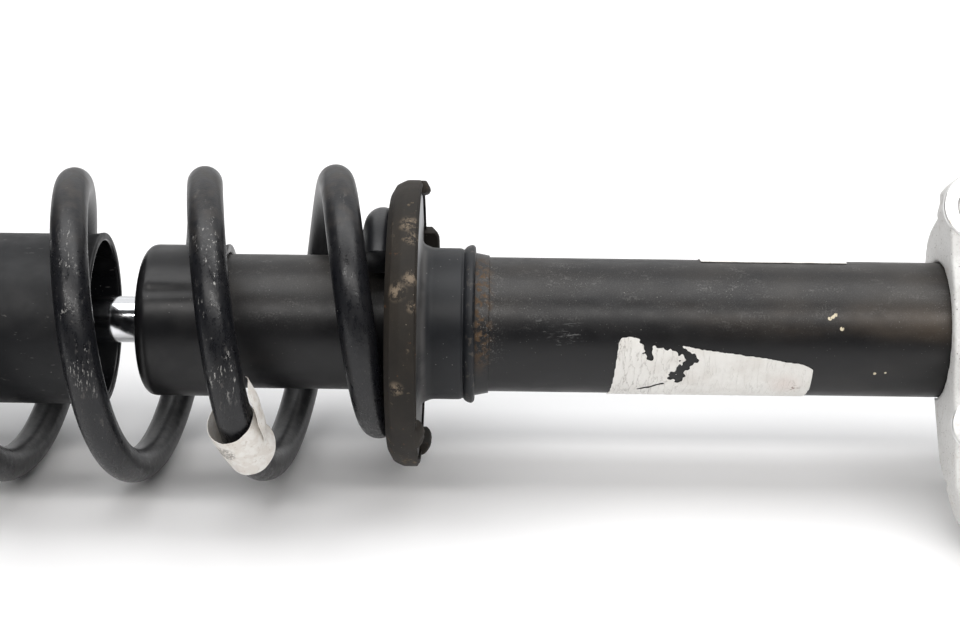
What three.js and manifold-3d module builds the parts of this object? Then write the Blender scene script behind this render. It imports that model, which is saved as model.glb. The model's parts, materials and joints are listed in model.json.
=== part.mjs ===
// Coil-over suspension strut: a monotube damper, its coil spring, a top mount and a cast lower bracket.
// Millimetres. The strut lies on its side: +X runs along it, from the top mount to the lower bracket.
import * as THREE from "three";
import { mergeVertices } from "three/addons/utils/BufferGeometryUtils.js";
import Module from "manifold-3d";

const wasm = await Module();
wasm.setup();

// ---- Driving dimensions ----

const GAP = 0.3; // between pieces that touch
const RUN = 0.3; // between pieces that slide or turn on each other
const SIDES = 24; // facets round a large turned piece
const SMALL_SIDES = 12; // facets round a small one

// Stations along X are measured from a datum plane just below the lower spring seat.
const TUBE = { od: 52, wall: 3, top: -126, length: 376, chamfer: 0.8 };
const ROD = { d: 18, threadD: 13.8, spigotD: 12, chamfer: 1.2 };

const CAP = { wall: 3, face: 4, skirt: 29.3, roundness: 9, flatness: 0.6, rodClear: 1.5 };
const CAP_RIM = { height: 0.4, width: 1.5 };

const SEAL = { wall: 6, length: 6.4, lip: 2 };
const BUSH = { wall: 1.7 };
const GUIDE = { inset: 4, length: 18 };
const ORING = { section: 2, squeeze: 0.2, side: 0.4 };
const SNAP_RING = { thickness: 1.6, reach: 1.5, depth: 0.6, opening: 8 };

const BUMPER = { wall: 8, length: 7.4 };
const STOP_RING = { wall: 5, width: 4, depth: 0.8 };
const PISTON = { length: 18, portD: 3.6, portCircle: 28, ports: 6, fromGuide: 26 };
const BAND = { width: 10, thickness: 1.4 };
const SHIMS = { boreClear: 4, step: 3.5, count: 3, thickness: 1.2 };
const PISTON_NUT = { flats: 17, height: 9 };

const GAS_PISTON = { from: 276, length: 18, bowl: 10, wall: 5 };
const BASE = { thickness: 8, port: 8.6 };
const GAS_PLUG = { headD: 14, head: 2.5, shank: 7 };

const SPRING = {
  wireD: 13.6,
  meanR: 54.4,
  pitch: 50.6,
  crest: -158.1, // station of the crest that turns are counted from
  phase: 28, // degrees that this crest leans from the vertical
  upperTurns: 3.35,
  lowerTurns: 3.15,
  upperEase: [2.45, 3.0], // turns over which the pitch fades out
  lowerEase: [2.1, 2.65],
  pigtailTurns: [2.0, 2.5], // turns over which the lower end winds inwards
  pigtailClear: 5.2, // from the pigtail to the tube
  bow: 2.8, // sideways bow of the coil at mid length
  sides: 8,
  stepsPerTurn: 18,
};

const PAD = { rim: 2.5, seat: 4.4, lip: 3.8, tubeClear: 2, roundness: 6, hookWidth: 12, hook: 4 };
const HOOK_ANGLES = [28, 79, 182, 246]; // degrees from the top, round the far side
const SEAT = {
  beyondCoil: 8.2, // from the pigtail to the disc's edge
  thickness: 3,
  wall: 3,
  neck: 17,
  fillet: 5,
  flare: 1.2,
  lip: 4.6,
  shelf: 1.3,
};
const SUPPORT = { height: 1.3, length: 9, taper: 5 };

const TRAVEL = 85; // full stroke of the rod
const DUST = { wall: 2.6, capClear: 1.1, overlapGap: 15, flare: 0.75, flareLength: 4 };
const UPPER_PAD = { insideCoil: 3.6, beyondCoil: 0.8, thickness: 5, guide: 2 };
const UPPER_SEAT = { rim: 1.5, thickness: 2.7, spigot: 18, lip: 4 };
const RACE = { inner: 36, outer: 46, thickness: 6, groove: 1.4 };
const BALLS = { d: 5, count: 12, cageT: 1.6, cageW: 6 };

const MOUNT = { cornerR: 20, thickness: 4, studSpan: 92, ringWall: 3, skirt: 10.7, boreR: 28 };
const SLEEVE = { wall: 4.8, proud: 1, length: 18 };
const BUFFER = { length: 12 };
const TOP_WASHER = { r: 22, thickness: 3 };
const ROD_NUT = { flats: 22, height: 10.5, threadProud: 1.5 };
const STUD = { d: 8, headD: 14, head: 3.5, length: 26 };
const BUMP_STOP = { fold: 5, taper: 1.5, folds: 3, capClear: 0.8 };
const BUMP_CUP = { wall: 1.2, face: 3, skirt: 14, clear: 1.6 };

const FLOOR_CLEAR = 1; // from the coil to the surface that the strut lies on
const BRACKET = {
  roll: 35, // degrees that the flange face leans back from vertical
  start: 176,
  length: 86,
  wall: 5.7,
  cover: 2, // flange face beyond the tube
  plate: 14,
  web: 12,
  bossR: 11.7,
  bossHole: 7,
  bossProud: 0.6,
  land: 1.8, // flange beyond each boss
  bossDepth: 18,
  bossBackCut: 10, // room cut behind each boss for its bolt
  upperBoss: 17.4, // from the tube wall to the boss axes
  lowerBoss: 12.9,
  nearBoss: 10.5, // from the casting's upper face to the boss axes
  farBoss: 69,
  earR: 23,
  earX: 24,
  earDepth: 20,
  earClear: 0.5,
  stopLip: 4,
};
const CLAMP = { x: 49, earR: 14, halfWidth: 15, slit: 4, boltD: 12, holeD: 12.8 };
const CLAMP_BOLT = { flats: 18, head: 8, tail: 4 };
const CLAMP_NUT = { flats: 18, height: 10 };
const CLAMP_WASHER = { r: 12, thickness: 2.2 };

const LABEL = { thickness: 0.3, start: 49, length: 77, from: -62, to: 19 };
const BACK_LABEL = { start: 84, length: 56, from: 104, to: 175 };
const TAG = { turn: 1.4, span: 0.055, clear: 2, thickness: 0.4 };

// ---- Sizes that follow from them ----

const tubeR = TUBE.od / 2;
const boreR = tubeR - TUBE.wall;
const rodR = ROD.d / 2;
const wireR = SPRING.wireD / 2;
const capR = tubeR + GAP + CAP.wall;
const capStart = TUBE.top - GAP - CAP.face;
const restHeight = SPRING.meanR + wireR + SPRING.bow + FLOOR_CLEAR;

// ---- Materials ----

const finish = (color, roughness, metalness) =>
  new THREE.MeshStandardMaterial({ color, roughness, metalness });
const blackPaint = finish(0x26262a, 0.5, 0.3);
const springPaint = finish(0x1f2023, 0.45, 0.3);
const blackPlastic = finish(0x1b1c1f, 0.6, 0);
const rubber = finish(0x2c2825, 0.85, 0);
const foam = finish(0xb9a36a, 0.9, 0);
const chrome = finish(0xd8dade, 0.12, 1);
const steel = finish(0x8d9095, 0.4, 1);
const zinc = finish(0xb4b6b0, 0.35, 1);
const aluminium = finish(0xb9b8b4, 0.55, 0.8);
const whitePlastic = finish(0xd9d6cc, 0.5, 0);
const bronze = finish(0x8a6a42, 0.4, 0.9);
const paper = finish(0xe4e1da, 0.9, 0);

// ---- Shape helpers ----

const strut = new THREE.Group();

function addPiece(name, geometry, material) {
  const mesh = new THREE.Mesh(geometry, material);
  mesh.name = name;
  strut.add(mesh);
  return mesh;
}

// A closed [x, r] outline turned about the strut's axis.
// An outline that starts and ends at r = 0 is left open there.
function turned(outline, sides = SIDES) {
  const points = outline.map(([x, r]) => new THREE.Vector2(r, x));
  const area = THREE.ShapeUtils.area(points);
  if (area < 0) points.reverse();
  const touchesAxis = points[0].x === 0 && points.at(-1).x === 0;
  if (!touchesAxis) points.push(points[0].clone());
  return new THREE.LatheGeometry(points, sides).rotateZ(-Math.PI / 2);
}

// A plain ring of rectangular section.
function ring(x0, x1, inner, outer, sides = SIDES) {
  return turned([[x0, inner], [x1, inner], [x1, outer], [x0, outer]], sides);
}

function toSolid(geometry) {
  const bare = geometry.clone();
  bare.deleteAttribute("normal");
  bare.deleteAttribute("uv");
  const merged = mergeVertices(bare, 1e-4);
  return new wasm.Manifold(
    new wasm.Mesh({
      numProp: 3,
      vertProperties: merged.attributes.position.array,
      triVerts: new Uint32Array(merged.index.array),
    }),
  );
}

function toGeometry(solid) {
  const mesh = solid.getMesh();
  const geometry = new THREE.BufferGeometry();
  geometry.setAttribute("position", new THREE.BufferAttribute(mesh.vertProperties, 3));
  geometry.setIndex(new THREE.BufferAttribute(mesh.triVerts, 1));
  return geometry;
}

// Joins the geometries in one list and cuts away those in the other.
function combine(joined, cut = []) {
  let solid = toSolid(joined[0]);
  for (const geometry of joined.slice(1)) solid = solid.add(toSolid(geometry));
  for (const geometry of cut) solid = solid.subtract(toSolid(geometry));
  return toGeometry(solid);
}

const radians = THREE.MathUtils.degToRad;

// A hexagonal or round bar about the strut's axis, from x0 to x1.
function bar(x0, x1, radius, sides) {
  const geometry = new THREE.CylinderGeometry(radius, radius, x1 - x0, sides);
  return geometry.rotateZ(-Math.PI / 2).translate((x0 + x1) / 2, 0, 0);
}

const acrossCorners = (flats) => flats / 2 / Math.cos(Math.PI / 6);

function hexNut(x0, x1, flats, holeR) {
  return combine([bar(x0, x1, acrossCorners(flats), 6)], [bar(x0 - 1, x1 + 1, holeR, SMALL_SIDES)]);
}

// ---- Damper: tube, base and gas piston ----

const tubeEnd = TUBE.top + TUBE.length;
const guideTop = TUBE.top + GUIDE.inset;
const guideEnd = guideTop + GUIDE.length;
const snapStart = guideEnd + GAP;
const snapEnd = snapStart + SNAP_RING.thickness;

function makeTube() {
  const grooveR = boreR + SNAP_RING.depth + GAP;
  const edge = TUBE.chamfer;
  addPiece("damper_tube", turned([
    [TUBE.top, boreR],
    [snapStart - GAP, boreR],
    [snapStart - GAP, grooveR],
    [snapEnd + GAP, grooveR],
    [snapEnd + GAP, boreR],
    [tubeEnd, boreR],
    [tubeEnd, tubeR - edge],
    [tubeEnd - edge, tubeR],
    [TUBE.top + edge, tubeR],
    [TUBE.top, tubeR - edge],
  ]), blackPaint);
}

function makeBase() {
  const start = tubeEnd - BASE.thickness;
  const portR = BASE.port / 2;
  const shankR = portR - GAP;
  addPiece("tube_base", ring(start, tubeEnd, portR, boreR - GAP), steel);
  addPiece("gas_plug", turned([
    [tubeEnd - GAS_PLUG.shank, 0],
    [tubeEnd - GAS_PLUG.shank, shankR],
    [tubeEnd + GAP, shankR],
    [tubeEnd + GAP, GAS_PLUG.headD / 2],
    [tubeEnd + GAP + GAS_PLUG.head, GAS_PLUG.headD / 2 - 1],
    [tubeEnd + GAP + GAS_PLUG.head, 0],
  ], SMALL_SIDES), zinc);
}

// An O-ring's section is a hexagon centred at station x, whose outside reaches outerR.
function oRing(x, outerR) {
  const r = ORING.section / 2;
  const outline = [];
  const corners = 6;
  for (let i = 0; i < corners; i++) {
    const angle = ((i + 0.5) / corners) * 2 * Math.PI;
    outline.push([x + r * Math.cos(angle), outerR - r + r * Math.sin(angle)]);
  }
  return turned(outline);
}

// The groove that an O-ring at station x sits in, as outline points in the order of rising x.
function oRingGroove(x, wallR) {
  const half = ORING.section / 2 + ORING.side;
  const floorR = boreR - ORING.squeeze - ORING.section - GAP;
  return [[x - half, wallR], [x - half, floorR], [x + half, floorR], [x + half, wallR]];
}

function makeGasPiston() {
  const x0 = TUBE.top + GAS_PISTON.from;
  const x1 = x0 + GAS_PISTON.length;
  const outerR = boreR - RUN;
  const mid = (x0 + x1) / 2;
  addPiece("floating_piston", turned([
    [x0, 0],
    [x0, outerR - 1],
    [x0 + 1, outerR],
    ...oRingGroove(mid, outerR),
    [x1, outerR],
    [x1, outerR - GAS_PISTON.wall],
    [x1 - GAS_PISTON.bowl, outerR - GAS_PISTON.wall],
    [x1 - GAS_PISTON.bowl, 0],
  ]), aluminium);
  addPiece("floating_piston_o_ring", oRing(mid, boreR - ORING.squeeze), rubber);
}

// ---- Damper: rod guide, seal and cap ----

function makeGuide() {
  const sealTop = guideTop + GAP;
  const sealEnd = sealTop + SEAL.length;
  const sealR = rodR + SEAL.wall;
  const pocket = sealEnd + GAP;
  const runR = rodR + RUN;
  const bushR = runR + BUSH.wall;
  const outerR = boreR - GAP;
  const ringX = (guideTop + guideEnd) / 2;
  addPiece("rod_guide", turned([
    [guideTop, sealR + GAP],
    [pocket, sealR + GAP],
    [pocket, bushR + GAP],
    [guideEnd, bushR + GAP],
    [guideEnd, outerR],
    ...oRingGroove(ringX, outerR).reverse(),
    [guideTop, outerR],
  ]), aluminium);
  addPiece("guide_o_ring", oRing(ringX, boreR - ORING.squeeze), rubber);
  addPiece("guide_bush", ring(pocket + GAP, guideEnd, runR, bushR), bronze);
  addPiece("rod_seal", turned([
    [sealTop, runR + SEAL.lip],
    [sealTop + SEAL.lip, runR],
    [sealEnd - SEAL.lip, runR],
    [sealEnd, runR + SEAL.lip],
    [sealEnd, sealR],
    [sealTop, sealR],
  ]), rubber);
  const circlip = ring(snapStart, snapEnd, boreR - SNAP_RING.reach, boreR + SNAP_RING.depth);
  const width = SNAP_RING.opening;
  const opening = new THREE.BoxGeometry(width, width, width).translate(snapStart, boreR, 0);
  addPiece("guide_snap_ring", combine([circlip], [opening]), steel);
}

function makeCap() {
  const inner = tubeR + GAP;
  const start = capStart;
  const holeR = rodR + CAP.rodClear;
  const end = TUBE.top + CAP.skirt;
  const arcSteps = 5;
  const outline = [[start, holeR]];
  for (let i = 0; i <= arcSteps; i++) {
    const angle = (i / arcSteps) * (Math.PI / 2);
    const back = CAP.roundness * (1 - Math.sin(angle));
    outline.push([start + back * CAP.flatness, capR - CAP.roundness * (1 - Math.cos(angle))]);
  }
  const rounded = outline.slice(1).reverse();
  addPiece("body_cap", turned([
    outline[0],
    ...rounded,
    [end - CAP_RIM.width, capR],
    [end - CAP_RIM.width, capR + CAP_RIM.height],
    [end, capR + CAP_RIM.height],
    [end, inner],
    [TUBE.top - GAP, inner],
    [TUBE.top - GAP, holeR],
  ]), blackPlastic);
}

// ---- Coil spring ----

// How far the coil has advanced, in pitches, after so many turns, when the pitch fades out over ease.
function advance(turns, ease) {
  const [from, to] = ease;
  const span = to - from;
  if (turns <= from) return turns;
  const u = Math.min((turns - from) / span, 1);
  return from + span * (u - u ** 3 + u ** 4 / 2);
}

function springStation(turns) {
  const ease = turns < 0 ? SPRING.upperEase : SPRING.lowerEase;
  return SPRING.crest + Math.sign(turns) * SPRING.pitch * advance(Math.abs(turns), ease);
}

const springStart = springStation(-SPRING.upperTurns);
const springEnd = springStation(SPRING.lowerTurns);
const pigtailR = tubeR + SPRING.pigtailClear + wireR;

class CoilCurve extends THREE.Curve {
  constructor(from, to) {
    super();
    this.from = from;
    this.to = to;
  }
  getPoint(t, target = new THREE.Vector3()) {
    const turns = this.from + (this.to - this.from) * t;
    const [pigFrom, pigTo] = SPRING.pigtailTurns;
    const wound = THREE.MathUtils.smoothstep(turns, pigFrom, pigTo);
    const r = SPRING.meanR + (pigtailR - SPRING.meanR) * wound;
    const angle = 2 * Math.PI * turns;
    const lean = radians(SPRING.phase);
    const x = springStation(turns);
    const along = THREE.MathUtils.clamp((x - springStart) / (springEnd - springStart), 0, 1);
    const bow = SPRING.bow * Math.sin(Math.PI * along) ** 2;
    return target.set(x, -r * Math.sin(angle - lean), r * Math.cos(angle - lean) - bow);
  }
}

function circleShape(radius, sides) {
  const points = [];
  for (let i = 0; i < sides; i++) {
    const angle = (i / sides) * 2 * Math.PI;
    points.push(new THREE.Vector2(radius * Math.cos(angle), radius * Math.sin(angle)));
  }
  return new THREE.Shape(points);
}

function makeSpring() {
  const curve = new CoilCurve(-SPRING.upperTurns, SPRING.lowerTurns);
  const steps = Math.round((SPRING.upperTurns + SPRING.lowerTurns) * SPRING.stepsPerTurn);
  curve.arcLengthDivisions = 2 * steps;
  const wire = new THREE.ExtrudeGeometry(circleShape(wireR, SPRING.sides), {
    steps,
    extrudePath: curve,
  });
  addPiece("coil_spring", wire, springPaint);

  const tagCurve = new CoilCurve(TAG.turn - TAG.span / 2, TAG.turn + TAG.span / 2);
  const tagSides = 16;
  const section = circleShape(wireR + TAG.clear + TAG.thickness, tagSides);
  section.holes.push(circleShape(wireR + TAG.clear, tagSides));
  addPiece("spring_tag", new THREE.ExtrudeGeometry(section, { steps: 4, extrudePath: tagCurve }), paper);
}

// ---- Lower spring seat and its pad ----

const padSeat = springEnd + wireR + GAP;
const padInner = tubeR + PAD.tubeClear;
const discR = pigtailR + wireR + SEAT.beyondCoil;
const discTop = padSeat + PAD.seat;
const discEnd = discTop + SEAT.thickness;
const neckEnd = discEnd + SEAT.neck + SEAT.lip;

function makeLowerSeat() {
  const padR = discR + PAD.rim;
  const rimTop = padSeat - PAD.lip;
  const pocketTop = discTop - GAP;
  const pocketEnd = discEnd + GAP;
  const body = turned([
    [padSeat, padInner],
    [padSeat, padR - PAD.roundness - 3],
    [rimTop, padR - PAD.roundness - 1.5],
    [rimTop, padR - PAD.roundness],
    [rimTop + PAD.roundness * 0.4, padR - PAD.roundness * 0.3],
    [rimTop + PAD.roundness, padR],
    [pocketEnd, padR],
    [pocketEnd, discR + GAP],
    [pocketTop, discR + GAP],
    [pocketTop, padInner],
  ]);
  const hooks = HOOK_ANGLES.map((angle) => {
    const overlap = 1;
    const height = PAD.hook + padR - discR - GAP;
    const hook = new THREE.BoxGeometry(PAD.hook + overlap, PAD.hookWidth, height);
    hook.translate(pocketEnd + (PAD.hook - overlap) / 2, 0, padR - height / 2 - GAP);
    return hook.rotateX(radians(-angle));
  });
  // the part of each hook's block that would sit inside the disc's edge
  const discRoom = ring(pocketTop, pocketEnd, padInner, discR + GAP);
  addPiece("lower_spring_pad", combine([body, ...hooks], [discRoom]), rubber);

  const inner = tubeR + GAP;
  const neckR = inner + SEAT.wall;
  const shelf = neckEnd - SUPPORT.length + SUPPORT.taper;
  const counterR = inner + SEAT.shelf + GAP;
  addPiece("lower_spring_seat", turned([
    [discTop, inner],
    [discTop, discR],
    [discEnd, discR],
    [discEnd, neckR + SEAT.fillet],
    [discEnd + SEAT.fillet * 0.3, neckR + SEAT.fillet * 0.3],
    [discEnd + SEAT.fillet, neckR],
    [neckEnd - SEAT.lip, neckR],
    [neckEnd - SEAT.lip / 2, neckR + SEAT.flare],
    [neckEnd - 1, neckR + SEAT.flare + 0.2],
    [neckEnd, neckR + SEAT.flare - 0.8],
    [neckEnd, counterR],
    [shelf, counterR],
    [shelf, inner],
  ]), blackPaint);
  const supportStart = shelf + GAP;
  const supportEnd = supportStart + SUPPORT.length;
  addPiece("seat_support_ring", turned([
    [supportStart, inner],
    [supportStart, inner + SUPPORT.height],
    [supportEnd - SUPPORT.taper, inner + SUPPORT.height],
    [supportEnd, inner + GAP],
    [supportEnd, inner],
  ]), blackPaint);
}

// ---- Upper seat, dust tube and bearing ----

const upperPadInner = SPRING.meanR - wireR - UPPER_PAD.insideCoil;
const upperPadOuter = SPRING.meanR + wireR + UPPER_PAD.beyondCoil;
const upperSeatR = upperPadOuter + UPPER_SEAT.rim;
const upperPadEnd = springStart - wireR - GAP;
const upperPadTop = upperPadEnd - UPPER_PAD.thickness;
const upperDiscEnd = upperPadTop - GAP;
const upperDiscTop = upperDiscEnd - UPPER_SEAT.thickness;
const lowerRaceTop = upperDiscTop - GAP - RACE.thickness;
const ballRoom = BALLS.d - 2 * RACE.groove + 2 * RUN;
const upperRaceEnd = lowerRaceTop - ballRoom;
const upperRaceTop = upperRaceEnd - RACE.thickness;
const dustInner = capR + DUST.capClear;
const seatSpigotR = dustInner - GAP;
const seatSpigotInner = seatSpigotR - UPPER_SEAT.lip;
const ballCircleR = (RACE.inner + RACE.outer) / 2;

function makeUpperSeat() {
  addPiece("upper_spring_seat", turned([
    [upperDiscTop, seatSpigotInner],
    [upperDiscTop, upperSeatR],
    [upperDiscEnd, upperSeatR],
    [upperDiscEnd, seatSpigotR],
    [upperDiscEnd + UPPER_SEAT.spigot, seatSpigotR],
    [upperDiscEnd + UPPER_SEAT.spigot, seatSpigotInner],
  ]), blackPaint);
  addPiece("upper_spring_pad", turned([
    [upperPadTop, upperPadInner],
    [upperPadTop, upperPadOuter],
    [upperPadEnd, upperPadOuter],
    [upperPadEnd, upperPadInner + UPPER_PAD.guide],
    [upperPadEnd + UPPER_PAD.guide, upperPadInner],
  ]), rubber);
  const dustEnd = capStart - DUST.overlapGap;
  const dustR = dustInner + DUST.wall;
  addPiece("dust_tube", turned([
    [upperDiscEnd + GAP, dustInner],
    [upperDiscEnd + GAP, dustR],
    [dustEnd - DUST.flareLength, dustR],
    [dustEnd, dustR + DUST.flare],
    [dustEnd, dustInner],
  ]), blackPlastic);
}

// One bearing race: a ring with a shallow ball track in the face at station face, facing along side.
function race(back, face) {
  const side = Math.sign(face - back);
  const floor = face - side * RACE.groove;
  const half = RACE.groove * 2;
  return turned([
    [back, RACE.inner],
    [face, RACE.inner],
    [face, ballCircleR - half],
    [floor, ballCircleR - half / 2],
    [floor, ballCircleR + half / 2],
    [face, ballCircleR + half],
    [face, RACE.outer],
    [back, RACE.outer],
  ]);
}

function makeBearing() {
  addPiece("bearing_lower_race", race(upperDiscTop - GAP, lowerRaceTop), steel);
  addPiece("bearing_upper_race", race(upperRaceTop, upperRaceEnd), steel);
  const mid = (lowerRaceTop + upperRaceEnd) / 2;
  const cage = ring(
    mid - BALLS.cageT / 2,
    mid + BALLS.cageT / 2,
    ballCircleR - BALLS.cageW / 2,
    ballCircleR + BALLS.cageW / 2,
  );
  const balls = [];
  for (let i = 0; i < BALLS.count; i++) {
    const ball = new THREE.SphereGeometry(BALLS.d / 2 - 0.1, 6, 4).translate(mid, 0, ballCircleR);
    balls.push(ball.rotateX((i / BALLS.count) * 2 * Math.PI));
  }
  addPiece("bearing_ball_cage", combine([cage, ...balls]), steel);
}

// ---- Top mount ----

const plateEnd = upperRaceTop - GAP - MOUNT.skirt;
const plateTop = plateEnd - MOUNT.thickness;
const sleeveTop = plateTop - SLEEVE.proud;
const sleeveEnd = sleeveTop + SLEEVE.length;
const rodShoulder = sleeveEnd + GAP;
const washerTop = sleeveTop - GAP - TOP_WASHER.thickness;
const rodNutEnd = washerTop - GAP;
const rodNutTop = rodNutEnd - ROD_NUT.height;
const threadR = ROD.threadD / 2;

// The four stud places, as [y, z] about the strut's axis.
const half = MOUNT.studSpan / 2;
const studPlaces = [[half, half], [-half, half], [-half, -half], [half, -half]];

function roundedSquare(halfWidth, cornerR) {
  const shape = new THREE.Shape();
  const straight = halfWidth - cornerR;
  for (let i = 0; i < 4; i++) {
    const a = (i * Math.PI) / 2;
    const cx = straight * Math.SQRT2 * Math.cos(a + Math.PI / 4);
    const cy = straight * Math.SQRT2 * Math.sin(a + Math.PI / 4);
    shape.absarc(cx, cy, cornerR, a, a + Math.PI / 2, false);
  }
  return shape;
}

function makeMountPlate() {
  const shape = roundedSquare(restHeight, MOUNT.cornerR);
  const arcSegments = 5;
  const plate = new THREE.ExtrudeGeometry(shape, {
    depth: MOUNT.thickness,
    bevelEnabled: false,
    curveSegments: arcSegments,
  });
  plate.rotateY(Math.PI / 2).translate(plateTop, 0, 0);
  const skirtEnd = upperRaceTop - GAP;
  const wallR = MOUNT.boreR + MOUNT.ringWall;
  const skirt = turned([
    [plateTop, MOUNT.boreR],
    [plateTop, wallR + 1],
    [plateEnd + MOUNT.skirt / 2, wallR],
    [skirtEnd - 3, RACE.outer],
    [skirtEnd, RACE.outer],
    [skirtEnd, MOUNT.boreR],
  ]);
  const cuts = [bar(plateTop - 1, skirtEnd + 1, MOUNT.boreR, SIDES)];
  for (const [y, z] of studPlaces) {
    const hole = bar(plateTop - 1, plateEnd + 1, STUD.d / 2 + GAP, SMALL_SIDES);
    cuts.push(hole.translate(0, y, z));
  }
  addPiece("top_mount_plate", combine([plate, skirt], cuts), blackPaint);
}

function makeTopMount() {
  makeMountPlate();
  const sleeveR = threadR + GAP + SLEEVE.wall;
  addPiece("mount_sleeve", ring(sleeveTop, sleeveEnd, threadR + GAP, sleeveR), zinc);
  const bufferTop = plateTop + GAP;
  const bufferEnd = bufferTop + BUFFER.length;
  const outerR = MOUNT.boreR - GAP;
  addPiece("mount_rubber", turned([
    [bufferTop, sleeveR + GAP],
    [bufferTop, outerR],
    [bufferEnd, outerR],
    [bufferEnd + 2, (sleeveR + outerR) / 2],
    [bufferEnd, sleeveR + GAP],
  ]), rubber);
  const washer = ring(washerTop, sleeveTop - GAP, threadR + GAP, TOP_WASHER.r);
  addPiece("mount_washer", washer, zinc);
  addPiece("rod_nut", hexNut(rodNutTop, rodNutEnd, ROD_NUT.flats, threadR + GAP), zinc);
  const studR = STUD.d / 2;
  studPlaces.forEach(([y, z], i) => {
    const stud = turned([
      [plateEnd + GAP + STUD.head, 0],
      [plateEnd + GAP + STUD.head, STUD.headD / 2 - 0.6],
      [plateEnd + GAP, STUD.headD / 2],
      [plateEnd + GAP, studR],
      [plateEnd - STUD.length + 1, studR],
      [plateEnd - STUD.length, studR - 1],
      [plateEnd - STUD.length, 0],
    ], SMALL_SIDES);
    addPiece("mount_stud_" + (i + 1), stud.translate(0, y, z), zinc);
  });
}

// ---- Rod, bump stop and piston ----

const rodTop = rodNutTop - ROD_NUT.threadProud;
const bumperTop = guideEnd + GAP;
const stopTop = bumperTop + BUMPER.length + GAP;
const stopEnd = stopTop + STOP_RING.width;
const pistonTop = guideEnd + PISTON.fromGuide;
const pistonEnd = pistonTop + PISTON.length;
const shimStack = SHIMS.count * SHIMS.thickness;
const spigotShoulder = pistonTop - GAP - shimStack - GAP;
const pistonNutTop = pistonEnd + GAP + shimStack + GAP;
const pistonNutEnd = pistonNutTop + PISTON_NUT.height;
const spigotR = ROD.spigotD / 2;

function makeRod() {
  const grooveR = rodR - STOP_RING.depth;
  addPiece("piston_rod", turned([
    [rodTop, 0],
    [rodTop, threadR - ROD.chamfer],
    [rodTop + ROD.chamfer, threadR],
    [rodShoulder, threadR],
    [rodShoulder, rodR],
    [stopTop - GAP, rodR],
    [stopTop - GAP, grooveR],
    [stopEnd + GAP, grooveR],
    [stopEnd + GAP, rodR],
    [spigotShoulder, rodR],
    [spigotShoulder, spigotR],
    [pistonNutEnd + 1, spigotR],
    [pistonNutEnd + 1, 0],
  ]), chrome);
  const bumperEnd = bumperTop + BUMPER.length;
  addPiece("rebound_bumper", ring(bumperTop, bumperEnd, rodR + GAP, rodR + BUMPER.wall), foam);
  addPiece("rebound_stop_ring", ring(stopTop, stopEnd, grooveR + GAP, rodR + STOP_RING.wall), steel);
}

// A stack of shims that narrows away from the piston, from station x0 in the direction of side.
function shimStackShape(x0, side) {
  const outerR = boreR - SHIMS.boreClear;
  const outline = [[x0, spigotR + GAP], [x0, outerR]];
  for (let i = 1; i <= SHIMS.count; i++) {
    const x = x0 + side * i * SHIMS.thickness;
    const r = outerR - (i - 1) * SHIMS.step;
    outline.push([x, r]);
    if (i < SHIMS.count) outline.push([x, r - SHIMS.step]);
  }
  outline.push([x0 + side * shimStack, spigotR + GAP]);
  return turned(outline);
}

function makePiston() {
  const outerR = boreR - 2 * RUN;
  const mid = (pistonTop + pistonEnd) / 2;
  const bandStart = mid - BAND.width / 2;
  const bandEnd = mid + BAND.width / 2;
  const bandOuter = boreR - RUN;
  const bandInner = bandOuter - BAND.thickness;
  const body = turned([
    [pistonTop, spigotR + GAP],
    [pistonTop, outerR],
    [bandStart - GAP, outerR],
    [bandStart - GAP, bandInner - GAP],
    [bandEnd + GAP, bandInner - GAP],
    [bandEnd + GAP, outerR],
    [pistonEnd, outerR],
    [pistonEnd, spigotR + GAP],
  ]);
  const ports = [];
  for (let i = 0; i < PISTON.ports; i++) {
    const port = bar(pistonTop - 1, pistonEnd + 1, PISTON.portD / 2, 8);
    port.translate(0, PISTON.portCircle / 2, 0);
    ports.push(port.rotateX((i / PISTON.ports) * 2 * Math.PI));
  }
  addPiece("piston", combine([body], ports), steel);
  addPiece("piston_band", ring(bandStart, bandEnd, bandInner, bandOuter), whitePlastic);
  addPiece("compression_shims", shimStackShape(pistonTop - GAP, -1), steel);
  addPiece("rebound_shims", shimStackShape(pistonEnd + GAP, 1), steel);
  const nut = hexNut(pistonNutTop, pistonNutEnd, PISTON_NUT.flats, spigotR + GAP);
  addPiece("piston_nut", nut, zinc);
}

function makeBumpStop() {
  const cupTop = rodShoulder + GAP;
  const cupR = seatSpigotInner - BUMP_CUP.clear;
  const cupInnerR = cupR - BUMP_CUP.wall;
  const stopR = cupInnerR - GAP;
  addPiece("bump_stop_cup", turned([
    [cupTop, rodR + GAP],
    [cupTop, cupR],
    [cupTop + BUMP_CUP.skirt, cupR],
    [cupTop + BUMP_CUP.skirt, cupInnerR],
    [cupTop + BUMP_CUP.face, cupInnerR],
    [cupTop + BUMP_CUP.face, rodR + GAP],
  ]), steel);
  const top = cupTop + BUMP_CUP.face + GAP;
  const end = capStart - TRAVEL - BUMP_STOP.capClear;
  const foldsFrom = cupTop + BUMP_CUP.skirt + 2;
  const fold = (end - foldsFrom) / BUMP_STOP.folds;
  const outline = [[top, rodR + GAP], [top, stopR], [foldsFrom, stopR]];
  for (let i = 0; i < BUMP_STOP.folds; i++) {
    const crest = stopR - i * BUMP_STOP.taper;
    outline.push([foldsFrom + (i + 0.4) * fold, crest - BUMP_STOP.fold]);
    outline.push([foldsFrom + (i + 0.6) * fold, crest - BUMP_STOP.fold]);
    outline.push([foldsFrom + (i + 1) * fold, crest - BUMP_STOP.taper]);
  }
  outline.push([end, rodR + GAP + 1]);
  outline.push([end - 2, rodR + GAP]);
  addPiece("bump_stop", turned(outline), foam);
}

// ---- Lower bracket ----

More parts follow.
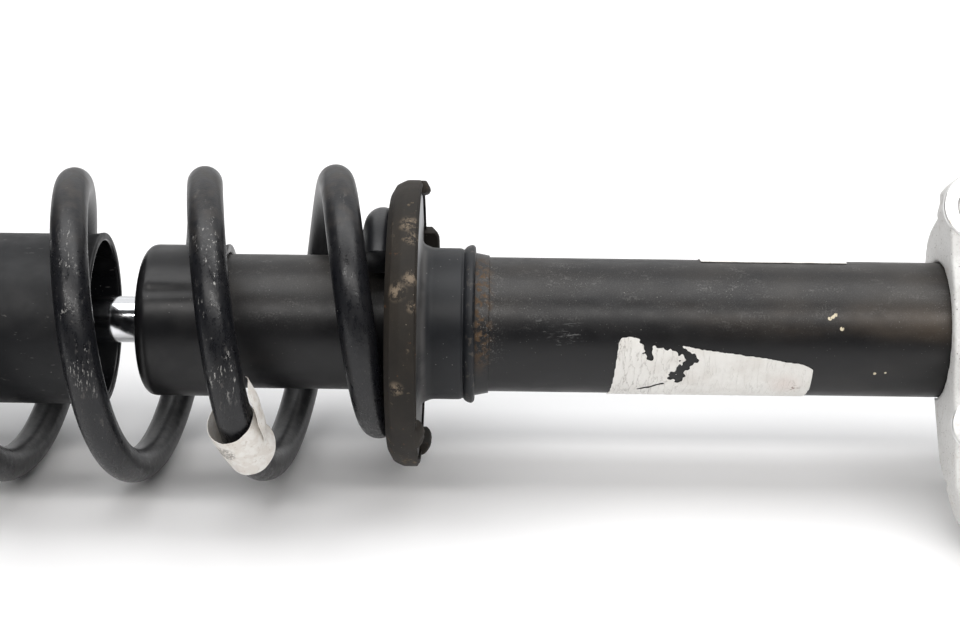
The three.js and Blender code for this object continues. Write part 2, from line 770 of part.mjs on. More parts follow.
const faceN = tubeR + BRACKET.cover;
const bracketEnd = BRACKET.start + BRACKET.length;
const upperW = tubeR + BRACKET.upperBoss;
const lowerW = -(tubeR + BRACKET.lowerBoss);
const nearX = BRACKET.start + BRACKET.nearBoss;
const farX = BRACKET.start + BRACKET.farBoss;
const roll = radians(BRACKET.roll);
const earBack = faceN - BRACKET.earDepth;
const earTip = -(restHeight - BRACKET.earClear + earBack * Math.sin(roll)) / Math.cos(roll);
const earW = earTip + BRACKET.earR;
const bossPlaces = [[nearX, upperW], [nearX, lowerW], [farX, upperW], [farX, lowerW]];

// The flange frame: x along the strut, w up the flange face, n out of it.
// Each helper ends in the rolled place.
function ontoFlange(geometry) {
  return geometry.rotateX(Math.PI / 2).rotateX(-roll);
}

// A shape in (x, w), extruded from depth n0 to n1.
function flangeSlab(shape, n0, n1) {
  const slab = new THREE.ExtrudeGeometry(shape, {
    depth: n1 - n0,
    bevelEnabled: false,
    curveSegments: 5,
  });
  return ontoFlange(slab.translate(0, 0, n0));
}

function flangePin(x, w, radius, n0, n1) {
  const pin = new THREE.CylinderGeometry(radius, radius, n1 - n0, SMALL_SIDES);
  return ontoFlange(pin.rotateX(Math.PI / 2).translate(x, w, (n0 + n1) / 2));
}

function flangeOutline() {
  const edge = BRACKET.bossR + BRACKET.land;
  const waist = upperW - BRACKET.bossR * 0.4;
  const shape = new THREE.Shape();
  const earX = BRACKET.start + BRACKET.earX;
  shape.moveTo(BRACKET.start, earW);
  shape.lineTo(BRACKET.start, upperW);
  shape.absarc(nearX, upperW, edge, radians(150), radians(50), true);
  shape.lineTo(nearX + edge + 6, waist);
  shape.lineTo(farX - edge - 6, waist);
  shape.absarc(farX, upperW, edge, radians(130), 0, true);
  shape.lineTo(farX + edge, lowerW);
  shape.absarc(farX, lowerW, edge, 0, radians(-120), true);
  shape.lineTo(earX + BRACKET.earR, earW);
  shape.absarc(earX, earW, BRACKET.earR, 0, radians(-170), true);
  return shape;
}

// The casting's upper face, seen along the strut, as [n, w] corners.
function webOutline() {
  const corners = [
    [faceN, earW + 4],
    [earBack + 2, earW + 3],
    [earBack - 5, earW + 10],
    [-1.4, lowerW + 3],
    [-4, -tubeR - 1],
    [-12, -tubeR * 0.8],
    [-tubeR * 0.7, 0],
    [-tubeR * 0.9, tubeR * 0.6],
    [-15, tubeR + 4.7],
    [-10.5, upperW - 6],
    [-5, upperW - 3],
    [4, upperW - 0.7],
    [faceN - 6, upperW + 3.8],
    [faceN, upperW + 5],
    [faceN, tubeR - 2],
    [faceN + 3, tubeR * 0.5],
    [faceN + 3, -tubeR * 0.5],
    [faceN, -tubeR],
  ];
  return new THREE.Shape(corners.map(([n, w]) => new THREE.Vector2(w, n)));
}

function webSlab() {
  const web = new THREE.ExtrudeGeometry(webOutline(), { depth: BRACKET.web, bevelEnabled: false });
  const axes = new THREE.Matrix4().makeBasis(
    new THREE.Vector3(0, 0, 1),
    new THREE.Vector3(0, -1, 0),
    new THREE.Vector3(1, 0, 0),
  );
  return web.applyMatrix4(axes).translate(BRACKET.start, 0, 0).rotateX(-roll);
}

// The block that fills the corners between the collar and the flange.
function saddle(halfWidth) {
  const x0 = BRACKET.start + BRACKET.web / 2;
  const height = faceN - BRACKET.plate / 2;
  const block = new THREE.BoxGeometry(bracketEnd - x0, 2 * halfWidth, height);
  return ontoFlange(block.translate((x0 + bracketEnd) / 2, 0, height / 2));
}

const clampX = BRACKET.start + CLAMP.x;
const clampZ = -(restHeight - CLAMP.earR);

function crossPin(radius, y0, y1, sides) {
  const pin = new THREE.CylinderGeometry(radius, radius, y1 - y0, sides);
  return pin.translate(clampX, (y0 + y1) / 2, clampZ);
}

function makeBracket() {
  const boreWall = tubeR + GAP;
  const collarR = boreWall + BRACKET.wall;
  const lipStart = tubeEnd + GAP;
  const joined = [ring(BRACKET.start + BRACKET.web - 2, bracketEnd, boreWall, collarR)];
  joined.push(ring(lipStart, bracketEnd, boreWall - BRACKET.stopLip, collarR));
  joined.push(webSlab());
  joined.push(saddle(0.95 * collarR));
  joined.push(flangeSlab(flangeOutline(), faceN - BRACKET.plate, faceN));
  const bossTop = faceN + BRACKET.bossProud;
  for (const [x, w] of bossPlaces) {
    joined.push(flangePin(x, w, BRACKET.bossR, faceN - BRACKET.bossDepth, bossTop));
  }
  const earX = BRACKET.start + BRACKET.earX;
  joined.push(flangePin(earX, earW, BRACKET.earR, earBack, faceN));
  const clampBlock = new THREE.BoxGeometry(2 * CLAMP.earR, 2 * CLAMP.halfWidth, -clampZ);
  joined.push(clampBlock.translate(clampX, 0, clampZ / 2));
  joined.push(crossPin(CLAMP.earR, -CLAMP.halfWidth, CLAMP.halfWidth, SIDES));

  const cuts = [bar(BRACKET.start - 1, lipStart, boreWall, SIDES)];
  cuts.push(bar(lipStart - 1, bracketEnd + 1, boreWall - BRACKET.stopLip, SIDES));
  const cutFrom = faceN - BRACKET.bossDepth - BRACKET.bossBackCut;
  for (const [x, w] of bossPlaces) cuts.push(flangePin(x, w, BRACKET.bossHole, cutFrom, bossTop + 1));
  cuts.push(flangePin(earX, earW, BRACKET.bossHole, earBack - 1, faceN + 1));
  const slitLength = bracketEnd + 1 - (BRACKET.start + BRACKET.web);
  const slit = new THREE.BoxGeometry(slitLength, CLAMP.slit, restHeight);
  const slitX = BRACKET.start + BRACKET.web + slitLength / 2;
  cuts.push(slit.translate(slitX, 0, -restHeight / 2 - boreWall / 2));
  const reach = CLAMP.halfWidth + 1;
  cuts.push(crossPin(CLAMP.holeD / 2, -reach, reach, SMALL_SIDES));
  addPiece("lower_bracket", combine(joined, cuts), aluminium);
}

function makeClampBolt() {
  const shankR = CLAMP.boltD / 2;
  const headY = -CLAMP.halfWidth - GAP;
  const washerY = CLAMP.halfWidth + GAP;
  const nutY = washerY + CLAMP_WASHER.thickness + GAP;
  const nutEnd = nutY + CLAMP_NUT.height;
  const head = crossPin(acrossCorners(CLAMP_BOLT.flats), headY - CLAMP_BOLT.head, headY, 6);
  const shank = crossPin(shankR, headY - 1, nutEnd + CLAMP_BOLT.tail, SMALL_SIDES);
  addPiece("clamp_bolt", combine([head, shank]), zinc);
  const hole = crossPin(shankR + GAP, washerY - 1, nutEnd + 1, SMALL_SIDES);
  const disc = crossPin(CLAMP_WASHER.r, washerY, washerY + CLAMP_WASHER.thickness, SMALL_SIDES);
  addPiece("clamp_washer", combine([disc], [hole]), zinc);
  const nut = crossPin(acrossCorners(CLAMP_NUT.flats), nutY, nutEnd, 6);
  addPiece("clamp_nut", combine([nut], [hole]), zinc);
}

// ---- Labels ----

// A thin sheet wrapped on the tube between two angles, measured from the flange normal upwards.
function wrappedSheet(x0, length, fromDeg, toDeg) {
  const inner = tubeR + GAP;
  const sheet = new THREE.Shape();
  sheet.absarc(0, 0, inner + LABEL.thickness, radians(fromDeg), radians(toDeg), false);
  sheet.absarc(0, 0, inner, radians(toDeg), radians(fromDeg), true);
  const slab = new THREE.ExtrudeGeometry(sheet, { depth: length, bevelEnabled: false, curveSegments: 8 });
  const axes = new THREE.Matrix4().makeBasis(
    new THREE.Vector3(0, -1, 0),
    new THREE.Vector3(0, 0, 1),
    new THREE.Vector3(-1, 0, 0),
  );
  return slab.applyMatrix4(axes).translate(x0 + length, 0, 0);
}

function makeLabels() {
  addPiece("tube_label", wrappedSheet(LABEL.start, LABEL.length, LABEL.from, LABEL.to), paper);
  const back = wrappedSheet(BACK_LABEL.start, BACK_LABEL.length, BACK_LABEL.from, BACK_LABEL.to);
  addPiece("tube_label_back", back, paper);
}

// ---- The whole strut ----

makeTube();
makeBase();
makeGasPiston();
makeGuide();
makeCap();
makeSpring();
makeLowerSeat();
makeUpperSeat();
makeBearing();
makeTopMount();
makeRod();
makePiston();
makeBumpStop();
makeBracket();
makeClampBolt();
makeLabels();

// The origin is the middle of the bounding box, at the surface that the strut lies on.
const box = new THREE.Box3().setFromObject(strut, true);
strut.position.set(-(box.min.x + box.max.x) / 2, -(box.min.y + box.max.y) / 2, -box.min.z);

export default strut;
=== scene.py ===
"""A coil-over suspension strut lying on a pale table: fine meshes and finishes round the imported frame."""

import json
import math

import bmesh
import bpy
from mathutils import Matrix, Vector, noise


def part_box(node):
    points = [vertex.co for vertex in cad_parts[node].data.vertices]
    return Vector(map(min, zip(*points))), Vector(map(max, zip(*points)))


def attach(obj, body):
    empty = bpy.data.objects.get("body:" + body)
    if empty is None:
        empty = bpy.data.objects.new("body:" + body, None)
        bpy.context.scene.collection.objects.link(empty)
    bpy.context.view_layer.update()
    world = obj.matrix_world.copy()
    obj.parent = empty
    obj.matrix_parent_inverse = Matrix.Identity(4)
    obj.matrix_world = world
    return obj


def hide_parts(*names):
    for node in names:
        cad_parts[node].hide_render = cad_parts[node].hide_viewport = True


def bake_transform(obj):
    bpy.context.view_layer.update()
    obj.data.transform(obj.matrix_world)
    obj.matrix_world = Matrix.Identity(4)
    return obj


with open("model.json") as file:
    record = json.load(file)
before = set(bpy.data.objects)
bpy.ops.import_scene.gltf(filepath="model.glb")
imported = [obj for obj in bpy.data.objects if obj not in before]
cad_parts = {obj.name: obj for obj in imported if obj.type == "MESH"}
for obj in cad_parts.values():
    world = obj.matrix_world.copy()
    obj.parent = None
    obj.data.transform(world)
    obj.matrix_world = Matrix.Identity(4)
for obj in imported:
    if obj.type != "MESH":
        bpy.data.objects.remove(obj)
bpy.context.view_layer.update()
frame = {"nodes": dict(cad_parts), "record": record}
RECORD = frame["record"]
BODY_OF = {node: body for body, nodes in RECORD["behaviour"]["bodies"].items() for node in nodes}
SLOT_OF = {part["node"]: part["material_slot"] for part in RECORD["subparts"]}

# ---- Places taken from the frame ----

MM = 0.001
tube_lo, tube_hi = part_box("damper_tube")
AXIS_Y = (tube_lo.y + tube_hi.y) / 2
AXIS_Z = (tube_lo.z + tube_hi.z) / 2
TUBE_R = (tube_hi.z - tube_lo.z) / 2
STRUT = Matrix.Translation((0, AXIS_Y, AXIS_Z))
seat_lo, seat_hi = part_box("lower_spring_seat")
DATUM_X = seat_hi.x + 1.8 * MM  # the station that lengths along the strut are counted from
SEGMENTS = 128


def station(mm):
    """The row-frame x of a station in millimetres along the strut."""
    return DATUM_X + mm * MM


def on_strut(x, angle, radius):
    """A point at x, at an angle in degrees from the front upwards, at a radius from the strut's axis."""
    a = math.radians(angle)
    return Vector((x, AXIS_Y - radius * math.cos(a), AXIS_Z + radius * math.sin(a)))


def on_tube(mm, angle):
    """A point of the tube's skin at a station in millimetres and an angle from the front upwards."""
    return on_strut(station(mm), angle, TUBE_R)


def from_axis(place):
    """How a place lies from the strut's axis."""
    return Vector((0, place.y - AXIS_Y, place.z - AXIS_Z))


# ---- Mesh helpers ----


def new_piece(name, verts, faces):
    """An object made of vertices and faces, with double vertices joined and its faces turned outwards."""
    mesh = bpy.data.meshes.new(name)
    mesh.from_pydata([tuple(v) for v in verts], [], faces)
    bm = bmesh.new()
    bm.from_mesh(mesh)
    bmesh.ops.remove_doubles(bm, verts=bm.verts, dist=1e-7)
    bmesh.ops.recalc_face_normals(bm, faces=bm.faces)
    bm.to_mesh(mesh)
    bm.free()
    return linked(name, mesh)


def linked(name, data):
    """A new object in the scene that holds a mesh, light or camera."""
    piece = bpy.data.objects.new(name, data)
    bpy.context.scene.collection.objects.link(piece)
    return piece


def soften(piece, angle=32):
    """Smooth shading, with creases over that many degrees left sharp."""
    piece.data.shade_smooth()
    piece.data.set_sharp_from_angle(angle=math.radians(angle))
    return piece


def settle(piece):
    """Applies the piece's modifiers to its mesh."""
    bpy.context.view_layer.update()
    graph = bpy.context.evaluated_depsgraph_get()
    mesh = bpy.data.meshes.new_from_object(piece.evaluated_get(graph))
    piece.modifiers.clear()
    piece.data = mesh
    return piece


def dress(piece, material, node, replaced=None, angle=32, ride=True):
    """Gives a piece its finish, hides the CAD node it stands for, and unless ride is off hangs it on that
    node's body.
    """
    soften(piece, angle)
    piece.data.materials.clear()
    piece.data.materials.append(material)
    if ride:
        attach(piece, BODY_OF[node])
    nodes = [node] if replaced is None else replaced
    if nodes:
        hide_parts(*nodes)
    return piece


def rounded(outline, radius, closed=True, steps=4):
    """The outline with each corner turned into a short curve."""
    points = [Vector(p) for p in outline]
    result = []
    for i, p in enumerate(points):
        if not closed and i in (0, len(points) - 1):
            result.append(p)
            continue
        back = points[i - 1] - p
        on = points[(i + 1) % len(points)] - p
        if back.angle(on) > math.radians(174):
            result.append(p)
            continue
        start = p + back.normalized() * min(radius, 0.45 * back.length)
        end = p + on.normalized() * min(radius, 0.45 * on.length)
        for k in range(steps + 1):
            t = k / steps
            result.append(start * (1 - t) ** 2 + p * 2 * t * (1 - t) + end * t ** 2)
    return result


def revolve(name, outline, place=STRUT, segments=SEGMENTS, closed=True):
    """Turns (x, r) points about the local x axis. A point may be a function of the angle that gives it."""
    verts, faces = [], []
    count = len(outline)
    for i in range(segments):
        a = 2 * math.pi * i / segments
        for p in outline:
            x, r = p(a) if callable(p) else p
            verts.append(place @ Vector((x, -r * math.sin(a), r * math.cos(a))))
    for i in range(segments):
        this, following = i * count, (i + 1) % segments * count
        for k in range(count if closed else count - 1):
            m = (k + 1) % count
            faces.append((this + k, following + k, following + m, this + m))
    return new_piece(name, verts, faces)


def cad_outline(node):
    """The (x, r) outline of a turned CAD node, sliced a hair off the half plane above its axis."""
    bm = bmesh.new()
    bm.from_mesh(frame["nodes"][node].data)
    bmesh.ops.remove_doubles(bm, verts=bm.verts, dist=2e-6)
    tilt = math.radians(0.05)
    cut = bmesh.ops.bisect_plane(
        bm,
        geom=bm.verts[:] + bm.edges[:] + bm.faces[:],
        dist=1e-8,
        plane_co=(0, AXIS_Y, AXIS_Z),
        plane_no=(0, math.cos(tilt), math.sin(tilt)),
    )["geom_cut"]
    links = {}
    for edge in cut:
        if isinstance(edge, bmesh.types.BMEdge) and all(v.co.z > AXIS_Z - 1e-6 for v in edge.verts):
            a, b = edge.verts
            links.setdefault(a, []).append(b)
            links.setdefault(b, []).append(a)
    ends = [v for v in links if len(links[v]) == 1]
    here, chain = (ends or list(links))[0], []
    while here is not None:
        chain.append(here)
        here = next((v for v in links[here] if v not in chain), None)
    points = [Vector((v.co.x, math.hypot(v.co.y - AXIS_Y, v.co.z - AXIS_Z))) for v in chain]
    bm.free()
    if ends:
        points[0].y = points[-1].y = 0
    return without_straights(points, closed=not ends), not ends


def without_straights(points, closed):
    kept = []
    for i, p in enumerate(points):
        at_end = not closed and i in (0, len(points) - 1)
        back, on = p - points[i - 1], points[(i + 1) % len(points)] - p
        if back.length < 1e-6 and not at_end:
            continue
        if at_end or on.length < 1e-6 or abs(back.cross(on)) > 2e-3 * back.length * on.length:
            kept.append(p)
    return kept


def fine_turned(node, material, radius):
    """A finely turned piece with the outline of a CAD node, its corners eased by a radius in millimetres."""
    outline, closed = cad_outline(node)
    piece = revolve(node + "_fine", rounded(outline, radius * MM, closed), closed=closed)
    return dress(piece, material, node)


def ease_edges(piece, width, angle):
    """Rounds the piece's edges over an angle in degrees by a width in millimetres."""
    edges = piece.modifiers.new("edges", "BEVEL")
    edges.width = width * MM
    edges.segments = 3
    edges.limit_method = "ANGLE"
    edges.angle_limit = math.radians(angle)


def thicken(sheet, thickness, offset):
    """Gives a sheet a thickness in millimetres, about its middle or to its outside."""
    thick = sheet.modifiers.new("thickness", "SOLIDIFY")
    thick.thickness = thickness * MM
    thick.offset = offset
    return settle(sheet)


def quads(rows, columns, closed=True, start=0):
    """The faces of a grid of vertices whose rows are closed on themselves or open."""
    width = columns if closed else columns + 1
    faces = []
    for i in range(rows):
        for k in range(columns):
            a, b = start + i * width + k, start + i * width + (k + 1) % width
            faces.append((a, b, b + width, a + width))
    return faces


def push(piece, shift):
    """Moves each vertex by what shift gives for its place."""
    for vertex in piece.data.vertices:
        vertex.co += shift(vertex.co)
    piece.data.update()


def waver(place, size, seed=0.0):
    """Smooth noise from -1 to 1 whose bumps are size millimetres wide."""
    return noise.noise(place / (size * MM) + Vector((seed, seed * 1.7, -seed)))


# ---- Finishes ----


class Surface:
    """A procedural material whose texture space is the row frame at rest, in metres."""

    def __init__(self, name, color, roughness, metallic=0.0, specular=0.5, rest=False):
        self.material = bpy.data.materials.new(name)
        self.material.use_nodes = True
        self.links = self.material.node_tree.links
        self.shader = self.material.node_tree.nodes["Principled BSDF"]
        self.shader.inputs["Base Color"].default_value = (*color, 1)
        self.shader.inputs["Roughness"].default_value = roughness
        self.shader.inputs["Metallic"].default_value = metallic
        self.shader.inputs["Specular IOR Level"].default_value = specular
        if rest:
            attribute = self.node("Attribute")
            attribute.attribute_name = "rest"
            self.place = attribute.outputs["Vector"]
        else:
            self.place = self.node("TexCoord").outputs["Object"]

    def feed(self, socket, value):
        if isinstance(value, bpy.types.NodeSocket):
            self.links.new(value, socket)
        else:
            socket.default_value = value

    def node(self, kind, **inputs):
        """A new shader node whose named inputs are fed with values or sockets."""
        node = self.material.node_tree.nodes.new("ShaderNode" + kind)
        for name, value in inputs.items():
            self.feed(node.inputs[name.replace("_", " ")], value)
        return node

    def math(self, operation, a, b=0.0, clamp=False):
        node = self.node("Math")
        node.operation = operation
        node.use_clamp = clamp
        self.feed(node.inputs[0], a)
        self.feed(node.inputs[1], b)
        return node.outputs[0]

    def scaled(self, mask, factor):
        return self.math("MULTIPLY", mask, factor)

    def both(self, *masks):
        result = masks[0]
        for mask in masks[1:]:
            result = self.math("MULTIPLY", result, mask)
        return result

    def rise(self, value, low, high):
        """0 below low and 1 above high, or the other way round where low is the larger."""
        start, end = (0.0, 1.0) if low < high else (1.0, 0.0)
        node = self.node("MapRange", Value=value, From_Min=min(low, high), From_Max=max(low, high))
        node.interpolation_type = "SMOOTHSTEP"
        node.inputs["To Min"].default_value = start
        node.inputs["To Max"].default_value = end
        return node.outputs["Result"]

    def stretched(self, stretch, seed):
        place = (seed, seed * 0.7, seed * 1.3)
        return self.node("Mapping", Vector=self.place, Scale=stretch, Location=place).outputs["Vector"]

    def noise(self, size, detail=4.0, stretch=(1, 1, 1), seed=0.0, roughness=0.55):
        """Noise whose largest bumps are about size millimetres wide."""
        node = self.node("TexNoise", Vector=self.stretched(stretch, seed), Scale=1 / (size * MM))
        node.inputs["Detail"].default_value = detail
        node.inputs["Roughness"].default_value = roughness
        return node.outputs["Fac"]

    def patches(self, low, high, size, detail, stretch=(1, 1, 1), seed=0.0, roughness=0.55):
        """Noise made into a mask: 0 where it is under low and 1 where it is over high."""
        return self.rise(self.noise(size, detail, stretch, seed, roughness), low, high)

    def creases(self, size, stretch, seed=0.0):
        """Thin wandering lines about size millimetres apart."""
        off_middle = self.math("SUBTRACT", self.noise(size, 4, stretch, seed), 0.5)
        return self.rise(self.math("ABSOLUTE", off_middle), 0.02, 0.0)

    def specks(self, size, reach, share, seed=0.0):
        """Small separate marks: reach is their share of a cell, and share how much of the skin has them."""
        cells = self.node("TexVoronoi", Vector=self.stretched((1, 1, 1), seed), Scale=1 / (size * MM))
        marks = self.rise(cells.outputs["Distance"], reach, reach * 0.6)
        return self.both(marks, self.patches(1 - share, 1.02 - share, size * 7, 3, seed=seed + 3))

    def part_of(self, axis):
        return self.node("SeparateXYZ", Vector=self.place).outputs[axis]

    def between(self, axis, low, high, soft):
        """1 from low to high along an axis, fading over soft."""
        value = self.part_of(axis)
        return self.both(self.rise(value, low - soft, low + soft), self.rise(value, high + soft, high - soft))

    def near(self, centre, reach, soft=0.5):
        """1 within reach metres of a point, fading over that share of it."""
        node = self.node("VectorMath")
        node.operation = "DISTANCE"
        self.links.new(self.place, node.inputs[0])
        node.inputs[1].default_value = centre
        return self.rise(node.outputs["Value"], reach, reach * (1 - soft))

    def height(self, low, high):
        """Rises from low to high, in metres above the strut's axis."""
        return self.rise(self.part_of("Z"), AXIS_Z + low, AXIS_Z + high)

    def front(self, low, high):
        """Rises from low to high, in metres in front of the strut's axis."""
        return self.rise(self.part_of("Y"), AXIS_Y - low, AXIS_Y - high)

    def beyond(self, low, high):
        """Rises from low to high, in millimetres from the strut's axis."""
        y = self.math("SUBTRACT", self.part_of("Y"), AXIS_Y)
        z = self.math("SUBTRACT", self.part_of("Z"), AXIS_Z)
        squares = self.math("ADD", self.math("MULTIPLY", y, y), self.math("MULTIPLY", z, z))
        return self.rise(self.math("SQRT", squares), low * MM, high * MM)

    def mix(self, name, kind, first, mask, value):
        """Turns a shader input towards a value where the mask is 1. Its kind's sockets start at first."""
        node = self.node("Mix")
        node.data_type = kind
        target = self.shader.inputs[name]
        self.feed(node.inputs[0], mask)
        before = target.links[0].from_socket if target.is_linked else target.default_value
        self.feed(node.inputs[first], before)
        node.inputs[first + 1].default_value = value
        return node.outputs, target

    def tint(self, mask, color, share=1.0):
        outputs, target = self.mix("Base Color", "RGBA", 6, self.scaled(mask, share), (*color, 1))
        self.links.new(outputs[2], target)

    def roughen(self, mask, value):
        outputs, target = self.mix("Roughness", "FLOAT", 2, mask, value)
        self.links.new(outputs[0], target)

    def bump(self, height, distance, strength=1.0):
        """Raises the surface by height times distance millimetres."""
        node = self.node("Bump", Strength=strength, Distance=distance * MM, Height=height)
        normal = self.shader.inputs["Normal"]
        if normal.is_linked:
            self.links.new(normal.links[0].from_socket, node.inputs["Normal"])
        self.links.new(node.outputs["Normal"], normal)


# Brown dust, also used as a painted warm reflection on the tube.
BROWN_DUST_AND_SHEEN = (0.20, 0.165, 0.125)
# Grey dust, also used as painted light on the spring's underside and the seat's disc face.
GREY_DUST_AND_PAINTED_LIGHT = (0.26, 0.25, 0.24)
RUST = (0.125, 0.075, 0.038)

# Chips in the tube's paint and mud on the pad: station in mm, angle from the front upwards, and size in mm.
CHIPS = (
    (130.9, 36.5, 0.9), (132, 38, 0.9), (133.1, 39.5, 0.8),
    (135.4, 28, 0.9), (149, -12, 0.7), (153, -11, 0.5),
)
MUD = ((-26, 69, 5), (-24.6, 62, 4), (-25, 45, 4), (-30, 40, 5), (-24, 34, 3), (-30, 2, 4))


def tube_paint():
    """Satin black paint: brown dust on top that also stands in for a warm reflection growing toward the
    bracket, a painted warm reflection band, rubbed specks, rust at the seat and a few chips.
    """
    s = Surface("black_paint", (0.0060, 0.0060, 0.0070), 0.33, specular=0.36)
    top = s.height(0.1 * TUBE_R, 0.95 * TUBE_R)
    right = s.rise(s.part_of("X"), station(20), station(170))
    film = s.patches(0.32, 0.75, 26, 5, stretch=(0.45, 1, 1))
    # Brown film on top and growing toward the bracket: partly dust, partly a painted warm reflection.
    s.tint(s.both(top, film), BROWN_DUST_AND_SHEEN, 0.09)
    s.tint(s.both(right, film), BROWN_DUST_AND_SHEEN, 0.05)
    grain = s.noise(0.35, 2)
    s.tint(s.both(top, s.rise(grain, 0.45, 0.8)), GREY_DUST_AND_PAINTED_LIGHT, 0.12)
    # Painted warm reflection: a brownish sheen band high on the tube toward the bracket.
    warm_reflection = s.between("Z", AXIS_Z + 0.35 * TUBE_R, AXIS_Z + 0.72 * TUBE_R, 0.12 * TUBE_R)
    s.tint(s.both(warm_reflection, right, film), (0.24, 0.17, 0.11), 0.16)
    upper_specks = s.patches(0.66, 0.70, 0.55, 3, seed=41.0)
    s.tint(s.both(top, upper_specks, s.patches(0.48, 0.6, 17, 4, seed=43.0)), (0.36, 0.35, 0.33), 0.4)
    s.roughen(s.patches(0.3, 0.7, 9, 6), 0.42)
    s.tint(s.specks(1.7, 0.10, 0.5, 1.0), GREY_DUST_AND_PAINTED_LIGHT, 0.35)
    s.tint(s.specks(3.9, 0.05, 0.45, 5.0), (0.42, 0.40, 0.36), 0.6)
    dusty = s.both(top, s.patches(0.52, 0.68, 7, 6, (0.5, 1, 1), 21.0, 0.7))
    s.tint(s.both(dusty, s.patches(0.45, 0.6, 0.8, 4, seed=22.0)), GREY_DUST_AND_PAINTED_LIGHT, 0.22)
    by_seat = s.between("X", station(-3), station(3.5), 3.0 * MM)
    front = s.both(s.height(-0.45 * TUBE_R, 0.35 * TUBE_R), s.front(-0.3 * TUBE_R, 0.4 * TUBE_R))
    rust = s.both(by_seat, front, s.patches(0.45, 0.58, 2.6, 6, seed=2.0, roughness=0.7))
    s.tint(rust, RUST, 0.7)
    s.roughen(rust, 0.9)
    chalk_zone = s.both(s.between("X", station(0), station(7), 5 * MM), front)
    chalk = s.both(chalk_zone, s.patches(0.56, 0.66, 0.7, 5, seed=7.0, roughness=0.8))
    s.tint(chalk, (0.40, 0.39, 0.37), 0.5)
    for along, angle, seed in ((23, 24, 9.0), (30, 19, 10.0), (35, 22, 11.0)):
        near = s.near(on_tube(along, angle), 6 * MM, 0.8)
        streak = s.patches(0.56, 0.62, 1.5, 5, (0.3, 1.6, 1.6), seed, 0.7)
        s.tint(s.both(near, streak), (0.34, 0.34, 0.34), 0.3)
    for along, angle, size in CHIPS:
        ragged = s.patches(0.40, 0.44, 1.0, 4, (1, 0.6, 1), 2.0)
        s.tint(s.both(s.near(on_tube(along, angle), size * MM, 0.3), ragged), (0.66, 0.58, 0.42))
    s.bump(s.noise(0.9, 3), 0.012, 0.5)
    s.bump(grain, 0.004, 0.5)
    return s.material


def seat_paint():
    """The same paint gone grey and matt, with a film of pale dust and a painted grazing highlight high on the
    disc's face.
    """
    s = Surface("seat_paint", (0.0065, 0.0075, 0.0095), 0.44, specular=0.34)
    film = s.patches(0.35, 0.75, 12, 6)
    s.tint(film, (0.20, 0.22, 0.26), 0.028)
    # Pale dust on the disc's face, which also serves as painted grazing light on it.
    face = s.between("X", seat_lo.x - 1 * MM, seat_lo.x + 6 * MM, 1 * MM)
    s.tint(s.both(face, s.patches(0.25, 0.6, 20, 4, seed=4.0)), GREY_DUST_AND_PAINTED_LIGHT, 0.25)
    # Painted highlight: the top of the disc's face, lit at a grazing angle.
    high = s.both(face, s.height(18 * MM, 34 * MM), s.beyond(31, 36))
    s.tint(high, (0.50, 0.51, 0.53), 0.75)
    s.tint(s.specks(2.4, 0.12, 0.5, 2.0), GREY_DUST_AND_PAINTED_LIGHT, 0.5)
    lip = s.both(
        s.between("X", seat_hi.x - 3.2 * MM, seat_hi.x + MM, 0.6 * MM),
        s.patches(0.55, 0.65, 3.2, 6, seed=8.0),
    )
    s.tint(lip, (0.30, 0.25, 0.20), 0.16)
    s.roughen(film, 0.52)
    s.bump(s.noise(0.7, 4), 0.03, 0.5)
    s.bump(s.noise(5, 3, seed=3.0), 0.08, 0.4)
    return s.material


def plain_paint():
    """Satin black paint with light dust, for the parts at the upper end."""
    s = Surface("mount_paint", (0.011, 0.011, 0.0125), 0.40, specular=0.45)
    s.tint(s.patches(0.4, 0.75, 18, 6), GREY_DUST_AND_PAINTED_LIGHT, 0.14)
    s.tint(s.specks(3, 0.1, 0.45, 1.0), GREY_DUST_AND_PAINTED_LIGHT, 0.5)
    s.roughen(s.patches(0.35, 0.7, 7, 5), 0.58)
    s.bump(s.noise(0.9, 3), 0.02, 0.6)
    return s.material


